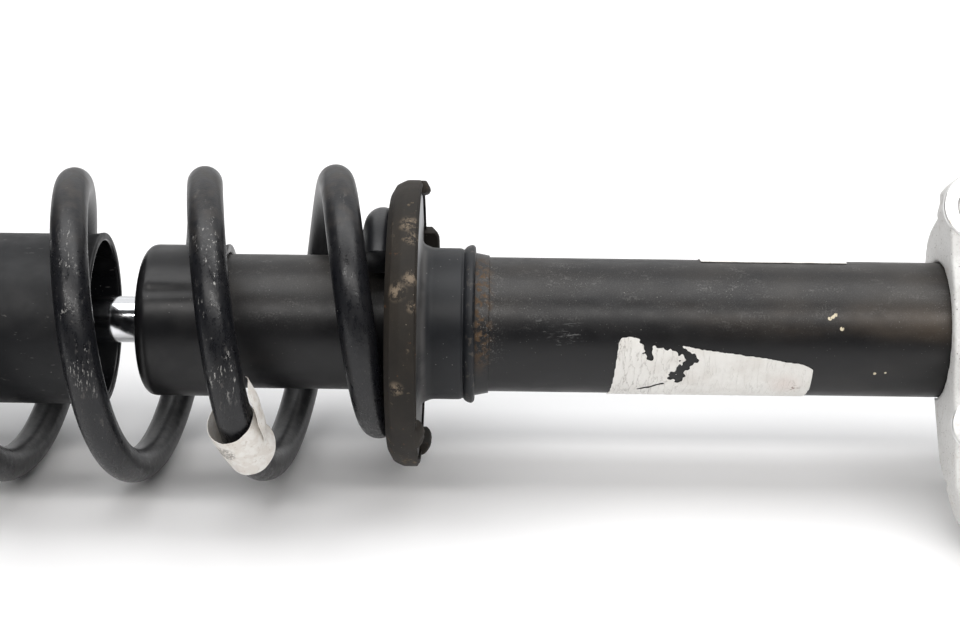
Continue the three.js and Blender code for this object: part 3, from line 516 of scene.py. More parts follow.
def spring_paint():
    """Black spring coating, satin with glossier bruises in front, painted glints in clumps along the lit
    front of the wire, scuffed grey along the outside.
    """
    s = Surface("spring_paint", (0.0055, 0.006, 0.0080), 0.36, rest=True, specular=0.42)
    outside = s.beyond(54, 61)
    film = s.patches(0.36, 0.78, 15, 6, roughness=0.65)
    s.tint(film, (0.20, 0.18, 0.155), 0.035)
    upper = s.both(s.height(42 * MM, 62 * MM), s.patches(0.4, 0.66, 5, 6, seed=4.0))
    s.tint(upper, (0.30, 0.25, 0.20), 0.09)
    s.roughen(s.scaled(upper, 0.5), 0.6)
    # Lighter grey patches on the underside: painted bounce light from the table.
    lower = s.height(-36 * MM, -60 * MM)
    s.tint(s.both(lower, s.patches(0.35, 0.6, 3, 6, seed=6.0)), GREY_DUST_AND_PAINTED_LIGHT, 0.12)
    front = s.front(12 * MM, 38 * MM)
    lit = s.both(front, s.height(-6 * MM, 12 * MM))
    glossy = s.both(front, s.patches(0.47, 0.62, 2.2, 6, (1.5, 0.8, 0.5), 51.0, 0.72))
    s.roughen(glossy, 0.22)
    # Painted glints: pale dashes in clumps along the crown of the wire's lit front, where the strip lamp
    # reflects.
    painted_glints = s.patches(0.575, 0.60, 1.6, 7, (1.7, 0.8, 0.38), 17.0, 0.75)
    in_clumps = s.patches(0.50, 0.55, 11, 3, (0.8, 0.8, 1), 27.0)
    along_crown = s.beyond(57.5, 59.5)
    s.tint(s.both(lit, painted_glints, in_clumps, along_crown), (0.50, 0.49, 0.47), 0.75)
    rubbed = s.both(outside, s.patches(0.61, 0.66, 2.4, 6, (1, 0.45, 0.45), 11.0, 0.7))
    s.tint(rubbed, (0.30, 0.28, 0.26), 0.16)
    s.roughen(rubbed, 0.55)
    s.tint(s.specks(2.3, 0.07, 0.5, 2.0), (0.35, 0.33, 0.31), 0.5)
    s.bump(s.noise(3.2, 3, (1, 0.8, 0.8)), 0.07, 0.8)
    s.bump(s.noise(1.0, 4, seed=2.0), 0.07, 0.9)
    return s.material


def dust_tube_plastic():
    """Matt black moulded plastic with pale fingermarks, smoother inside."""
    s = Surface("black_plastic", (0.0075, 0.008, 0.0095), 0.42, specular=0.28)
    inside = s.beyond(31.2, 30.8)
    s.tint(s.patches(0.42, 0.8, 22, 6), GREY_DUST_AND_PAINTED_LIGHT, 0.06)
    s.tint(s.specks(3.4, 0.09, 0.5, 4.0), GREY_DUST_AND_PAINTED_LIGHT, 0.45)
    s.tint(s.patches(0.66, 0.72, 1.4, 5, (0.3, 1, 1), 6.0), GREY_DUST_AND_PAINTED_LIGHT, 0.25)
    s.roughen(s.patches(0.3, 0.7, 6, 5), 0.52)
    s.roughen(inside, 0.2)
    s.bump(s.noise(0.3, 2), 0.01, 0.6)
    return s.material


def cap_plastic():
    """Smoother pressed-on cap, a little dusty towards its edge."""
    s = Surface("cap_plastic", (0.0065, 0.0065, 0.0075), 0.30, specular=0.33)
    s.tint(s.patches(0.42, 0.8, 14, 6), GREY_DUST_AND_PAINTED_LIGHT, 0.05)
    s.tint(s.specks(3.0, 0.09, 0.45, 3.0), GREY_DUST_AND_PAINTED_LIGHT, 0.4)
    s.roughen(s.patches(0.3, 0.7, 8, 5), 0.38)
    s.bump(s.noise(0.5, 2), 0.008, 0.5)
    s.bump(s.noise(9, 3, seed=2.0), 0.05, 0.4)
    return s.material


def worn_rubber():
    """Brown-black rubber with dried mud and rubbed edges."""
    s = Surface("rubber", (0.0165, 0.014, 0.0115), 0.66, specular=0.26)
    s.tint(s.patches(0.35, 0.7, 16, 6), (0.085, 0.065, 0.045), 0.14)
    mud = s.patches(0.60, 0.68, 9, 7, (1.2, 0.8, 0.8), 5.0, 0.72)
    streaks = s.patches(0.40, 0.58, 1.2, 5, (0.5, 1, 1), 31.0, 0.7)
    s.tint(s.both(mud, streaks), (0.24, 0.19, 0.135), 0.6)
    s.tint(s.patches(0.63, 0.69, 5.5, 6, seed=12.0, roughness=0.7), (0.15, 0.07, 0.03), 0.45)
    for along, angle, size in MUD:
        patch = s.near(on_strut(station(along), angle, 55 * MM), size * MM, 0.9)
        mud_and_crease_shade = s.patches(0.46, 0.58, 2.6, 6, (1, 1, 1), along, 0.75)
        s.tint(s.both(patch, mud_and_crease_shade), (0.27, 0.21, 0.15), 0.7)
    s.tint(s.specks(1.9, 0.1, 0.5, 3.0), (0.36, 0.31, 0.25), 0.6)
    s.roughen(mud, 0.95)
    s.bump(s.noise(0.6, 4), 0.05, 0.7)
    s.bump(s.noise(3.5, 4, seed=2.0), 0.15, 0.5)
    return s.material


def chrome():
    """Hard chrome with fine polishing marks and a trace of oil."""
    s = Surface("chrome", (0.80, 0.81, 0.83), 0.07, 1.0)
    s.tint(s.patches(0.5, 0.8, 3, 5, (0.1, 1, 1)), (0.55, 0.56, 0.60), 0.15)
    s.roughen(s.patches(0.45, 0.75, 5, 5), 0.16)
    s.bump(s.noise(0.25, 2, (6, 0.4, 0.4)), 0.002, 0.4)
    return s.material


def turned_metal(name, color, roughness, dirt=0.2):
    """Plated or bare metal with faint tool marks and grime in its hollows."""
    s = Surface(name, color, roughness, 1.0)
    s.tint(s.patches(0.45, 0.75, 6, 6), (0.20, 0.18, 0.15), dirt)
    s.tint(s.specks(1.6, 0.15, 0.5, 2.0), (0.12, 0.10, 0.08), dirt)
    s.roughen(s.patches(0.3, 0.7, 3, 5, seed=1.0), min(1.0, roughness + 0.2))
    s.bump(s.noise(0.35, 3, (4, 1, 1)), 0.012, 0.6)
    return s.material


def cast_aluminium():
    """Sand-cast aluminium: pale grey and grainy, with pores, grime and a few bright rubs."""
    s = Surface("aluminium", (0.68, 0.675, 0.66), 0.50, 0.15)
    s.tint(s.patches(0.4, 0.75, 24, 6), (0.60, 0.59, 0.57), 0.35)
    s.tint(s.patches(0.5, 0.68, 0.9, 4, seed=4.0), (0.50, 0.49, 0.47), 0.45)
    pores = s.specks(2.1, 0.15, 0.55, 2.0)
    s.tint(pores, (0.12, 0.11, 0.10), 0.75)
    s.tint(s.patches(0.56, 0.68, 7, 7, seed=9.0, roughness=0.7), (0.38, 0.31, 0.25), 0.36)
    s.tint(s.patches(0.62, 0.7, 2.2, 5, seed=15.0), (0.84, 0.84, 0.83), 0.5)
    s.roughen(s.patches(0.35, 0.7, 3, 5, seed=1.0), 0.68)
    s.bump(s.noise(0.8, 5, roughness=0.7), 0.13, 0.7)
    s.bump(s.scaled(pores, -1.0), 0.2, 0.7)
    return s.material


def machined_aluminium():
    """Faced aluminium: bright, with cutter marks, stained ochre at its edges."""
    s = Surface("machined_aluminium", (0.80, 0.80, 0.79), 0.28, 0.7)
    s.tint(s.patches(0.5, 0.75, 5, 6), (0.60, 0.58, 0.54), 0.3)
    s.tint(s.patches(0.60, 0.68, 3.2, 6, seed=6.0, roughness=0.7), (0.42, 0.26, 0.10), 0.7)
    s.roughen(s.patches(0.4, 0.7, 2, 5), 0.42)
    s.bump(s.noise(0.3, 2, (3, 1, 1)), 0.01, 0.6)
    return s.material


def paper(name, color):
    """Wrinkled, grubby paper with vertical creases, painted shade along them, and one brown stain."""
    s = Surface(name, color, 0.62, specular=0.35)
    creases = s.creases(2.6, (1, 0.22, 0.22), 1.0)
    s.tint(s.patches(0.4, 0.75, 9, 5), (0.66, 0.62, 0.57), 0.4)
    # Painted shade along the creases, strongest toward the left end where the label is most wrinkled.
    left = s.rise(s.part_of("X"), station(92), station(58))
    elsewhere = s.scaled(s.patches(0.5, 0.62, 8, 3, seed=3.0), 0.3)
    mud_and_crease_shade = s.math("ADD", s.scaled(left, 0.6), elsewhere, clamp=True)
    s.tint(s.both(creases, mud_and_crease_shade), (0.36, 0.33, 0.30), 0.75)
    s.tint(s.patches(0.6, 0.75, 0.7, 4, seed=5.0), (0.45, 0.43, 0.40), 0.25)
    stain = s.both(s.near(on_tube(119, -33), 4 * MM, 0.8), s.patches(0.5, 0.6, 1.3, 5, seed=8.0))
    s.tint(stain, (0.16, 0.09, 0.06), 0.85)
    s.tint(s.near(on_tube(116, -27), 9 * MM, 0.9), (0.72, 0.60, 0.55), 0.4)
    s.bump(s.noise(2.4, 5, (1, 0.5, 0.5)), 0.35, 0.8)
    s.bump(creases, 0.12, 0.7)
    return s.material


def smudge_place():
    """Where a worn block of ink sits on the front of the tag."""
    centre, outward, side = wire_frame(TAG_TURN)
    return centre + (outward * 0.9 + side * 0.45) * 9 * MM


def tag_paper():
    """Soiled paper with pale rubbed creases and painted brown shade inside the loop."""
    s = Surface("tag_paper", (0.74, 0.70, 0.65), 0.60, rest=True, specular=0.35)
    s.tint(s.patches(0.42, 0.6, 3.4, 6, seed=2.0), (0.88, 0.87, 0.84), 0.6)
    s.tint(s.patches(0.54, 0.66, 2.2, 6, seed=6.0, roughness=0.7), (0.50, 0.43, 0.36), 0.5)
    # Painted shade: the inside of the loop, toward the wire, darkened to brown.
    inner = s.beyond(52, 46)
    s.tint(inner, (0.25, 0.17, 0.09), 0.7)
    smudge = s.both(s.near(smudge_place(), 4.2 * MM, 0.3), s.patches(0.42, 0.5, 0.9, 3, seed=9.0))
    s.tint(smudge, (0.10, 0.09, 0.08), 0.55)
    s.bump(s.noise(1.8, 5, seed=3.0), 0.22, 0.7)
    return s.material


def foam():
    """Closed-cell polyurethane, yellowed and finely pitted."""
    s = Surface("foam", (0.46, 0.37, 0.18), 0.75, specular=0.3)
    s.tint(s.patches(0.4, 0.7, 10, 5), (0.30, 0.23, 0.11), 0.4)
    pits = s.specks(1.1, 0.2, 0.6, 1.0)
    s.tint(pits, (0.16, 0.12, 0.06), 0.5)
    s.bump(s.scaled(pits, -1.0), 0.1)
    return s.material


def pale_plastic():
    """White nylon, slightly yellowed."""
    s = Surface("white_plastic", (0.70, 0.68, 0.63), 0.42)
    s.tint(s.patches(0.45, 0.75, 4, 4), (0.52, 0.49, 0.43), 0.3)
    s.bump(s.noise(0.4, 2), 0.01)
    return s.material


PAINT = tube_paint()
SEAT_PAINT = seat_paint()
MOUNT_PAINT = plain_paint()
DUST_PLASTIC = dust_tube_plastic()
CAP_PLASTIC = cap_plastic()
CAST = cast_aluminium()
MACHINED = machined_aluminium()
FINISH = {
    "black_paint": PAINT,
    "spring_paint": spring_paint(),
    "black_plastic": DUST_PLASTIC,
    "rubber": worn_rubber(),
    "foam": foam(),
    "chrome": chrome(),
    "steel": turned_metal("steel", (0.38, 0.385, 0.40), 0.34),
    "zinc": turned_metal("zinc", (0.58, 0.58, 0.55), 0.30),
    "aluminium": CAST,
    "white_plastic": pale_plastic(),
    "bronze": turned_metal("bronze", (0.42, 0.27, 0.13), 0.35),
    "paper": paper("paper", (0.84, 0.825, 0.79)),
}

# ---- Damper ----


def make_tube():
    """The painted tube, in short rings so that its eased ends leave the shading along it even."""
    outline, _ = cad_outline("damper_tube")
    eased = []
    for p, q in zip(outline, outline[1:] + outline[:1]):
        steps = max(1, int((q - p).length / (8 * MM)))
        eased += [p.lerp(q, k / steps) for k in range(steps)]
    tube = revolve("tube", rounded(eased, 0.5 * MM))
    return dress(tube, PAINT, "damper_tube")


def make_cap():
    """The cap over the tube's top, with a small dent in its shoulder."""
    outline, _ = cad_outline("body_cap")
    cap = revolve("cap", rounded(outline, 1.2 * MM, steps=5), segments=192)
    dent = on_strut(station(-123.5), 50, 29 * MM)

    def shift(place):
        depth = math.exp(-((place - dent).length / (2.6 * MM)) ** 2)
        return (Vector((0.6, 0, 0)) - from_axis(place).normalized()) * depth * 0.9 * MM

    push(cap, shift)
    return dress(cap, CAP_PLASTIC, "body_cap")


def thread(x0, x1, radius, pitch, depth):
    """Outline points of a thread from x0 to x1: equal V grooves."""
    count = max(1, round(abs(x1 - x0) / pitch))
    step = (x1 - x0) / count
    points = []
    for k in range(count):
        x = x0 + k * step
        points += [(x, radius), (x + 0.2 * step, radius), (x + 0.6 * step, radius - depth)]
    return points + [(x1, radius)]


# ---- Coil spring ----

WIRE_R = 6.8
COIL_R = 54.4
PITCH = 50.6
CREST = -158.1  # station of the crest that turns are counted from
LEAN = math.radians(28)
UPPER_TURNS, LOWER_TURNS = 3.35, 3.15
UPPER_EASE, LOWER_EASE = (2.45, 3.0), (2.1, 2.65)
PIGTAIL_R = 38.0
PIGTAIL_TURNS = (2.0, 2.5)
BOW = 2.8


def advance(turns, ease):
    """Pitches gained after so many turns, where the pitch fades out over ease."""
    start, end = ease
    if turns <= start:
        return turns
    u = min((turns - start) / (end - start), 1)
    return start + (end - start) * (u - u ** 3 + u ** 4 / 2)


def coil_station(turns):
    ease = UPPER_EASE if turns < 0 else LOWER_EASE
    return CREST + math.copysign(PITCH * advance(abs(turns), ease), turns)


COIL_START, COIL_END = coil_station(-UPPER_TURNS), coil_station(LOWER_TURNS)


def coil_point(turns):
    """A point on the wire's centre line."""
    u = min(max((turns - PIGTAIL_TURNS[0]) / (PIGTAIL_TURNS[1] - PIGTAIL_TURNS[0]), 0), 1)
    r = COIL_R + (PIGTAIL_R - COIL_R) * u * u * (3 - 2 * u)
    a = 2 * math.pi * turns - LEAN
    x = coil_station(turns)
    bow = BOW * math.sin(math.pi * (x - COIL_START) / (COIL_END - COIL_START)) ** 2
    return Vector((station(x), AXIS_Y - r * MM * math.sin(a), AXIS_Z + (r * math.cos(a) - bow) * MM))


def wire_frame(turns):
    """The centre of the wire's section, and its outward and side axes."""
    step = 1e-3
    centre = coil_point(turns)
    along = (coil_point(turns + step) - coil_point(turns - step)).normalized()
    outward = from_axis(centre)
    outward = (outward - along * outward.dot(along)).normalized()
    return centre, outward, along.cross(outward)


def make_spring():
    """The coil spring, its wire swept along the turns and its cut ends eased."""
    sides, steps = 40, 760
    inset = 0.0016  # turns taken by the eased edge of each cut end
    stops = [-UPPER_TURNS + (UPPER_TURNS + LOWER_TURNS) * i / steps for i in range(steps + 1)]
    sections = [(stops[0], 0.0), (stops[0], 0.9), (stops[0] + inset, 1.0)]
    sections += [(t, 1.0) for t in stops[1:-1]]
    sections += [(stops[-1] - inset, 1.0), (stops[-1], 0.9), (stops[-1], 0.0)]
    verts = []
    for turns, share in sections:
        centre, outward, side = wire_frame(turns)
        for k in range(sides):
            a = 2 * math.pi * k / sides
            verts.append(centre + (outward * math.cos(a) + side * math.sin(a)) * WIRE_R * share * MM)
    spring = new_piece("spring", verts, quads(len(sections) - 1, sides))
    remember_rest(spring)
    dress(spring, FINISH["spring_paint"], "coil_spring", angle=50, ride=False)
    return follow_travel(spring)


def remember_rest(piece):
    """Keeps each vertex's place at rest for the material."""
    attribute = piece.data.attributes.new("rest", "FLOAT_VECTOR", "POINT")
    for vertex in piece.data.vertices:
        attribute.data[vertex.index].vector = vertex.co


def follow_travel(piece):
    """Bakes the piece's place into its mesh."""
    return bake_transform(piece)


TAG_TURN = 1.386
TAG_HALF = 0.0245
TAG_SLACK = 1.7  # how far the loop hangs off centre, to one side above and the other below


def tag_point(around, share, rise=0.0):
    """A point at an angle round the wire and a share of the loop's length, risen by rise mm off the loop."""
    turns = TAG_TURN + TAG_HALF * (2 * share - 1) + 0.009 * math.cos(around - 0.4)
    centre, outward, side = wire_frame(turns)
    crumple = 0.28 * noise.noise(Vector((2.5 * math.cos(around), 2.5 * math.sin(around), 2.2 * share)))
    down = min(max(share, 0), 1)
    r = (WIRE_R + 2.1 + 0.8 * down + crumple + rise) * MM
    slack = (side * (0.9 - 2.2 * down) + outward * 0.3) * TAG_SLACK * MM
    return centre + slack + outward * r * math.cos(around) + side * r * math.sin(around)


def make_tag():
    """A paper tag wound loosely round the wire, with its glued end standing off as a flag."""
    sides, rows = 72, 26
    verts = [tag_point(2 * math.pi * k / sides, i / rows) for i in range(rows + 1) for k in range(sides + 1)]
    faces = quads(rows, sides, closed=False)
    flag_rows, flag_columns = 24, 8
    start = len(verts)
    root = math.radians(-100)
    for i in range(flag_rows + 1):
        for k in range(flag_columns + 1):
            along, across = i / flag_rows, k / flag_columns
            taper = math.sqrt(1 - 0.85 * max(0, (along - 0.9) / 0.1) ** 2)
            around = root + (across - 0.5) * 1.1 * taper
            lean = 0.7 + 2.4 * math.sin(math.pi * min(1, along)) + 0.3 * along
            verts.append(tag_point(around, 0.55 - 1.35 * along, lean))
    faces += quads(flag_rows, flag_columns, closed=False, start=start)
    tag = thicken(new_piece("tag", verts, faces), 0.2, 0)
    remember_rest(tag)
    dress(tag, tag_paper(), "spring_tag", angle=60, ride=False)
    return follow_travel(tag)


# ---- Lower spring seat ----


# The pad's hooks: angle from the top round the far side, reach past the CAD hook in mm, half width in mm.
HOOKS = ((28, -0.6, 6.5), (79, 2.0, 6.6), (182, 0.2, 7.5), (246, -0.8, 6.5))


def make_pad():
    """The rubber pad under the spring: its rim folds over the seat's edge and four hooks hold it there."""
    outline, _ = cad_outline("lower_spring_pad")
    hooks_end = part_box("lower_spring_pad")[1].x
    fold = max(outline, key=lambda p: (round(p.x, 5), -p.y))
    rim = max(p.y for p in outline)
    rim_end = max(p.x for p in outline)
    folded = []
    for p in outline:
        folded.append(p)
        if p is fold:
            folded += [fold + Vector((0.1, -0.5)) * MM, fold + Vector((0.5, -0.4)) * MM]
            folded += [Vector((fold.x + 0.6 * MM, rim - 0.9 * MM))]
    pad = revolve("pad", rounded(folded, 0.9 * MM, steps=5), segments=192)
    push(pad, lambda place: worn_edge(place, rim))
    dress(pad, FINISH["rubber"], "lower_spring_pad", angle=45)
    for i, (angle, past, half_width) in enumerate(HOOKS):
        hook = new_hook(f"pad_hook_{i + 1}", rim, rim_end, hooks_end + past * MM, angle, half_width * MM)
        dress(hook, FINISH["rubber"], "lower_spring_pad", replaced=[], angle=45)


def worn_edge(place, rim):
    """Rubs the pad's rim down unevenly by a few tenths of a millimetre."""
    out = from_axis(place)
    if out.length < rim - 2 * MM:
        return Vector((0, 0, 0))
    wear = 0.5 + 0.5 * waver(place, 7) + 0.3 * waver(place, 2.5, 4.0)
    return out.normalized() * -0.28 * MM * max(0, wear)


def make_seat():
    """The pressed seat: disc, neck and a flared lip set off from the neck by a crease."""
    outline, _ = cad_outline("lower_spring_seat")
    neck_r = min(p.y for p in outline) + 3 * MM
    crease = max((p for p in outline if abs(p.y - neck_r) < 0.1 * MM), key=lambda p: p.x)
    points = []
    for p in outline:
        if p is crease:
            points += [p + Vector((0.9, 0.5)) * MM, p + Vector((0.1, -0.7)) * MM, p + Vector((-0.9, 0)) * MM]
        else:
            points.append(p)
    seat = revolve("seat", rounded(points, 1.1 * MM, steps=5), segments=192)
    push(seat, lambda place: Vector((0.12 * MM * waver(place, 14), 0, 0)))
    return dress(seat, SEAT_PAINT, "lower_spring_seat", angle=40)


def new_hook(name, rim, start, end, angle, half_width):
    """One hook: a curved block across the rim whose tip turns in over the seat."""
    place = STRUT @ Matrix.Rotation(math.radians(-angle), 4, "X")
    inner, outer = rim - 5.2 * MM, rim - 0.3 * MM
    cells = 10
    verts = []
    for i in range(cells + 1):
        share = 2 * i / cells - 1
        y = half_width * share
        drop = y * y / (2 * rim)
        reach = end - 1.6 * MM * share ** 4 + 0.5 * MM * noise.noise(Vector((angle, i * 0.6, 0)))
        section = (
            (start - 1 * MM, inner),
            (reach - 0.6 * MM, inner),
            (reach, inner + 1.2 * MM),
            (reach - 0.3 * MM, (inner + outer) / 2),
            (reach - 1.7 * MM, outer),
            (start - 1 * MM, outer),
        )
        verts += [place @ Vector((x, y, z - drop)) for x, z in section]
    n = len(section)
    faces = quads(cells, n) + [tuple(range(n)), tuple(cells * n + k for k in reversed(range(n)))]
    hook = new_piece(name, verts, faces)
    ease_edges(hook, 0.5, 50)
    return settle(hook)


# ---- Upper end ----


def make_mount_plate():
    """The top mount's pressed plate: a rounded square with a deep collar and four stud holes."""
    lo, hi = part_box("top_mount_plate")
    outline, _ = cad_outline("top_mount_plate")
    bore = min(p.y for p in outline)
    half = (hi.z - lo.z) / 2
    back = lo.x + 4 * MM
    collar = [p for p in outline if p.x > back + 4 * MM and bore + 1 * MM < p.y < half - 10 * MM]
    skirt = [(lo.x, bore), (lo.x, bore + 5 * MM), (back + 3 * MM, bore + 4 * MM)]
    skirt += sorted(collar, key=lambda p: p.x) + [(hi.x, bore)]
    dress(rounded_plate("mount_plate", lo.x, back, half, bore), MOUNT_PAINT, "top_mount_plate")
    dress(revolve("mount_collar", rounded(skirt, 1.2 * MM)), MOUNT_PAINT, "top_mount_plate", replaced=[])


def middle_line(node):
    """The place of a node's own axis along the strut."""
    lo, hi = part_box(node)
    return Matrix.Translation((0, (lo.y + hi.y) / 2, (lo.z + hi.z) / 2))


def rounded_plate(name, x0, x1, half, bore):
    """A rounded square plate across the strut's axis, pierced by its bore and the four stud holes."""
    corner, steps = 20 * MM, 12
    outer = []
    for quarter in range(4):
        for k in range(steps + 1):
            a = (quarter + k / steps) * math.pi / 2
            cy = (half - corner) * (1 if quarter in (0, 3) else -1)
            cz = (half - corner) * (1 if quarter in (0, 1) else -1)
            outer.append((cy + corner * math.cos(a), cz + corner * math.sin(a)))
    verts = [(x, AXIS_Y + y, AXIS_Z + z) for x in (x0, x1) for y, z in outer]
    n = len(outer)
    faces = [tuple(range(n)), tuple(range(2 * n - 1, n - 1, -1))]
    faces += [(i, (i + 1) % n, n + (i + 1) % n, n + i) for i in range(n)]
    plate = new_piece(name, verts, faces)
    holes = [(bore, STRUT, SEGMENTS)] + [(4.3 * MM, middle_line(f"mount_stud_{i + 1}"), 48) for i in range(4)]
    cutters = []
    for radius, place, segments in holes:
        ends = [(x0 - 0.01, radius), (x1 + 0.01, radius), (x1 + 0.01, 0), (x0 - 0.01, 0)]
        cutters.append(revolve("cutter", ends, place, segments))
        cut = plate.modifiers.new("hole", "BOOLEAN")
        cut.operation = "DIFFERENCE"
        cut.object = cutters[-1]
    ease_edges(plate, 0.7, 40)
    settle(plate)
    for cutter in cutters:
        bpy.data.objects.remove(cutter)
    return plate


def hexagon(flats):
    """Distance from the middle of a hexagon to its edge at each angle."""
    def edge(a):
        return flats / 2 / math.cos((a + math.pi / 6) % (math.pi / 3) - math.pi / 6)
    return edge


def hex_outline(x0, x1, flats, hole):
    """A chamfered hexagon nut from x0 to x1, as outline points for revolve."""
    edge = hexagon(flats)
    circle = 0.475 * flats
    side = 1 if x1 > x0 else -1

    def chamfered(x, inwards):
        return lambda a: (x + inwards * (edge(a) - circle) * math.tan(math.radians(28)), edge(a))

    lead = 0.8 * MM
    points = [(x0, hole + lead), (x0, circle), chamfered(x0, side), chamfered(x1, -side), (x1, circle)]
    return points + [(x1, hole + lead), (x1 - side * lead, hole), (x0 + side * lead, hole)]


def make_rod_and_nut():
    """The chromed rod, with a threaded top, shoulder and plain shank, and the nut on it."""
    lo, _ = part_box("piston_rod")
    outline, _ = cad_outline("piston_rod")
    thread_r = sorted(p.y for p in outline)[2]
    shoulder = min(p.x for p in outline if p.y > thread_r + 1.5 * MM)
    shank = [p for p in outline if p.x > shoulder - 0.01 * MM and p.y > thread_r + 0.1 * MM]
    points = [(lo.x, 0.0), (lo.x, thread_r - 0.4 * MM)]
    points += thread(lo.x + 1.2 * MM, shoulder - 0.4 * MM, thread_r + 0.8 * MM, 1.5 * MM, 0.8 * MM)
    points += rounded(shank, 0.5 * MM, closed=False) + [(shank[-1].x, 0.0)]
    rod = revolve("rod", points, closed=False)
    dress(rod, FINISH["chrome"], "piston_rod")
    lo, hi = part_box("rod_nut")
    bore = sorted(p.y for p in cad_outline("mount_sleeve")[0])[0]
    nut = revolve("top_nut", hex_outline(lo.x, hi.x, 22 * MM, bore + 0.6 * MM))
    dress(nut, FINISH["zinc"], "rod_nut", angle=20)


def make_studs():
    """The four press-in studs, threaded to a plain neck under the head."""
    for i in range(4):
        node = f"mount_stud_{i + 1}"
        lo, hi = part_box(node)
        head_start = hi.x - 3.5 * MM
        outline = [(lo.x, 0.0), (lo.x, 2.9 * MM)]
        outline += thread(lo.x + 0.9 * MM, head_start - 6 * MM, 4 * MM, 1.25 * MM, 0.6 * MM)
        outline += rounded([
            (head_start - 5 * MM, 4 * MM),
            (head_start, 4 * MM),
            (head_start, 7 * MM),
            (hi.x, 6.4 * MM),
            (hi.x, 0.0),
        ], 0.5 * MM, closed=False)
        stud = revolve(f"stud_{i + 1}", outline, middle_line(node), 48, closed=False)
        dress(stud, FINISH["zinc"], node, angle=24)


# ---- Lower bracket ----

FLANGE_ROLL = math.radians(35)
FLANGE_OUT = Vector((0, -math.cos(FLANGE_ROLL), math.sin(FLANGE_ROLL)))


def make_bracket():
    """The casting: its CAD shape rounded off by a fine remesh, as sand casting leaves it."""
    source = frame["nodes"]["lower_bracket"]
    bracket = linked("casting", source.data.copy())
    skin = bracket.modifiers.new("skin", "REMESH")
    skin.mode = "VOXEL"
    skin.voxel_size = 1.0 * MM
    ease = bracket.modifiers.new("ease", "SMOOTH")
    ease.factor = 0.5
    ease.iterations = 7
    settle(bracket)
    bore = TUBE_R + 0.3 * MM

    def shift(place):
        out = from_axis(place)
        in_bore = out.length < bore + 0.4 * MM and place.x < tube_hi.x
        return out.normalized() * (bore + 0.12 * MM - out.length) if in_bore else Vector((0, 0, 0))

    push(bracket, shift)
    dress(bracket, CAST, "lower_bracket", angle=70)
    for hole in ("near_upper", "near_lower", "far_upper", "far_lower", "ear"):
        make_bush(hole)


def make_bush(hole):
    """The machined face and bore of one bolt hole."""
    boxes = [o["box_m"] for o in RECORD["physics"]["openings"] if o["name"].startswith(hole)]
    middles = [(Vector(lo) + Vector(hi)) / 2 for lo, hi in boxes]
    centre = sum(middles, Vector((0, 0, 0))) / len(middles)
    depth = 20 * MM if hole == "ear" else 18.6 * MM
    face_r = 11.4 * MM if hole.endswith("lower") else 13 * MM
    back = -depth / 2 + 0.2 * MM
    front = depth / 2 + 0.12 * MM
    bore = 7 * MM
    outline = [
        (back, bore + 0.6 * MM),
        (back, bore + 2.2 * MM),
        (front - 2 * MM, bore + 2.2 * MM),
        (front - 2 * MM, face_r),
        (front - 0.5 * MM, face_r),
        (front, face_r - 0.5 * MM),
        (front, bore + 0.9 * MM),
        (front - 0.9 * MM, bore),
        (back + 0.6 * MM, bore),
    ]
    turn = FLANGE_OUT.to_track_quat("X", "Z").to_matrix().to_4x4()
    piece = revolve(f"bolt_face_{hole}", rounded(outline, 0.15 * MM), Matrix.Translation(centre) @ turn, 96)
    dress(piece, MACHINED, "lower_bracket", replaced=[], angle=24)


def make_clamp_bolt():
    """The bolt, washer and nut that close the casting's clamp, along Y."""
    lo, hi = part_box("clamp_bolt")
    washer_lo, washer_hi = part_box("clamp_washer")
    nut_lo, nut_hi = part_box("clamp_nut")
    across = Matrix.Translation(((nut_lo.x + nut_hi.x) / 2, 0, (washer_lo.z + washer_hi.z) / 2))
    across = across @ Matrix.Rotation(math.radians(90), 4, "Z")
    head_end = lo.y + 8 * MM
    flats = 18 * MM
    edge = hexagon(flats)
    slope = math.tan(math.radians(28))
    circle = 0.475 * flats
    outline = [
        (lo.y, 0.0), (lo.y, circle),
        lambda a: (lo.y + (edge(a) - circle) * slope, edge(a)),
        lambda a: (head_end - 0.6 * MM, edge(a)),
        (head_end - 0.6 * MM, 8.6 * MM), (head_end, 8.6 * MM), (head_end, 6 * MM),
    ]
    outline += thread(nut_lo.y, hi.y - 1 * MM, 6 * MM, 1.5 * MM, 0.7 * MM) + [(hi.y, 5.1 * MM), (hi.y, 0.0)]
    bolt = revolve("pinch_bolt", outline, across, 96, closed=False)
    dress(bolt, FINISH["zinc"], "clamp_bolt", angle=22)
    ring = [(washer_lo.y, 6.3 * MM), (washer_lo.y, 12 * MM), (washer_hi.y, 12 * MM), (washer_hi.y, 6.3 * MM)]
    washer = revolve("pinch_washer", rounded(ring, 0.5 * MM), across, 96)
    dress(washer, FINISH["zinc"], "clamp_washer", angle=24)
    nut = revolve("pinch_nut", hex_outline(nut_lo.y, nut_hi.y, flats, 6.2 * MM), across, 96)
    dress(nut, FINISH["zinc"], "clamp_nut", angle=20)


# ---- Labels ----


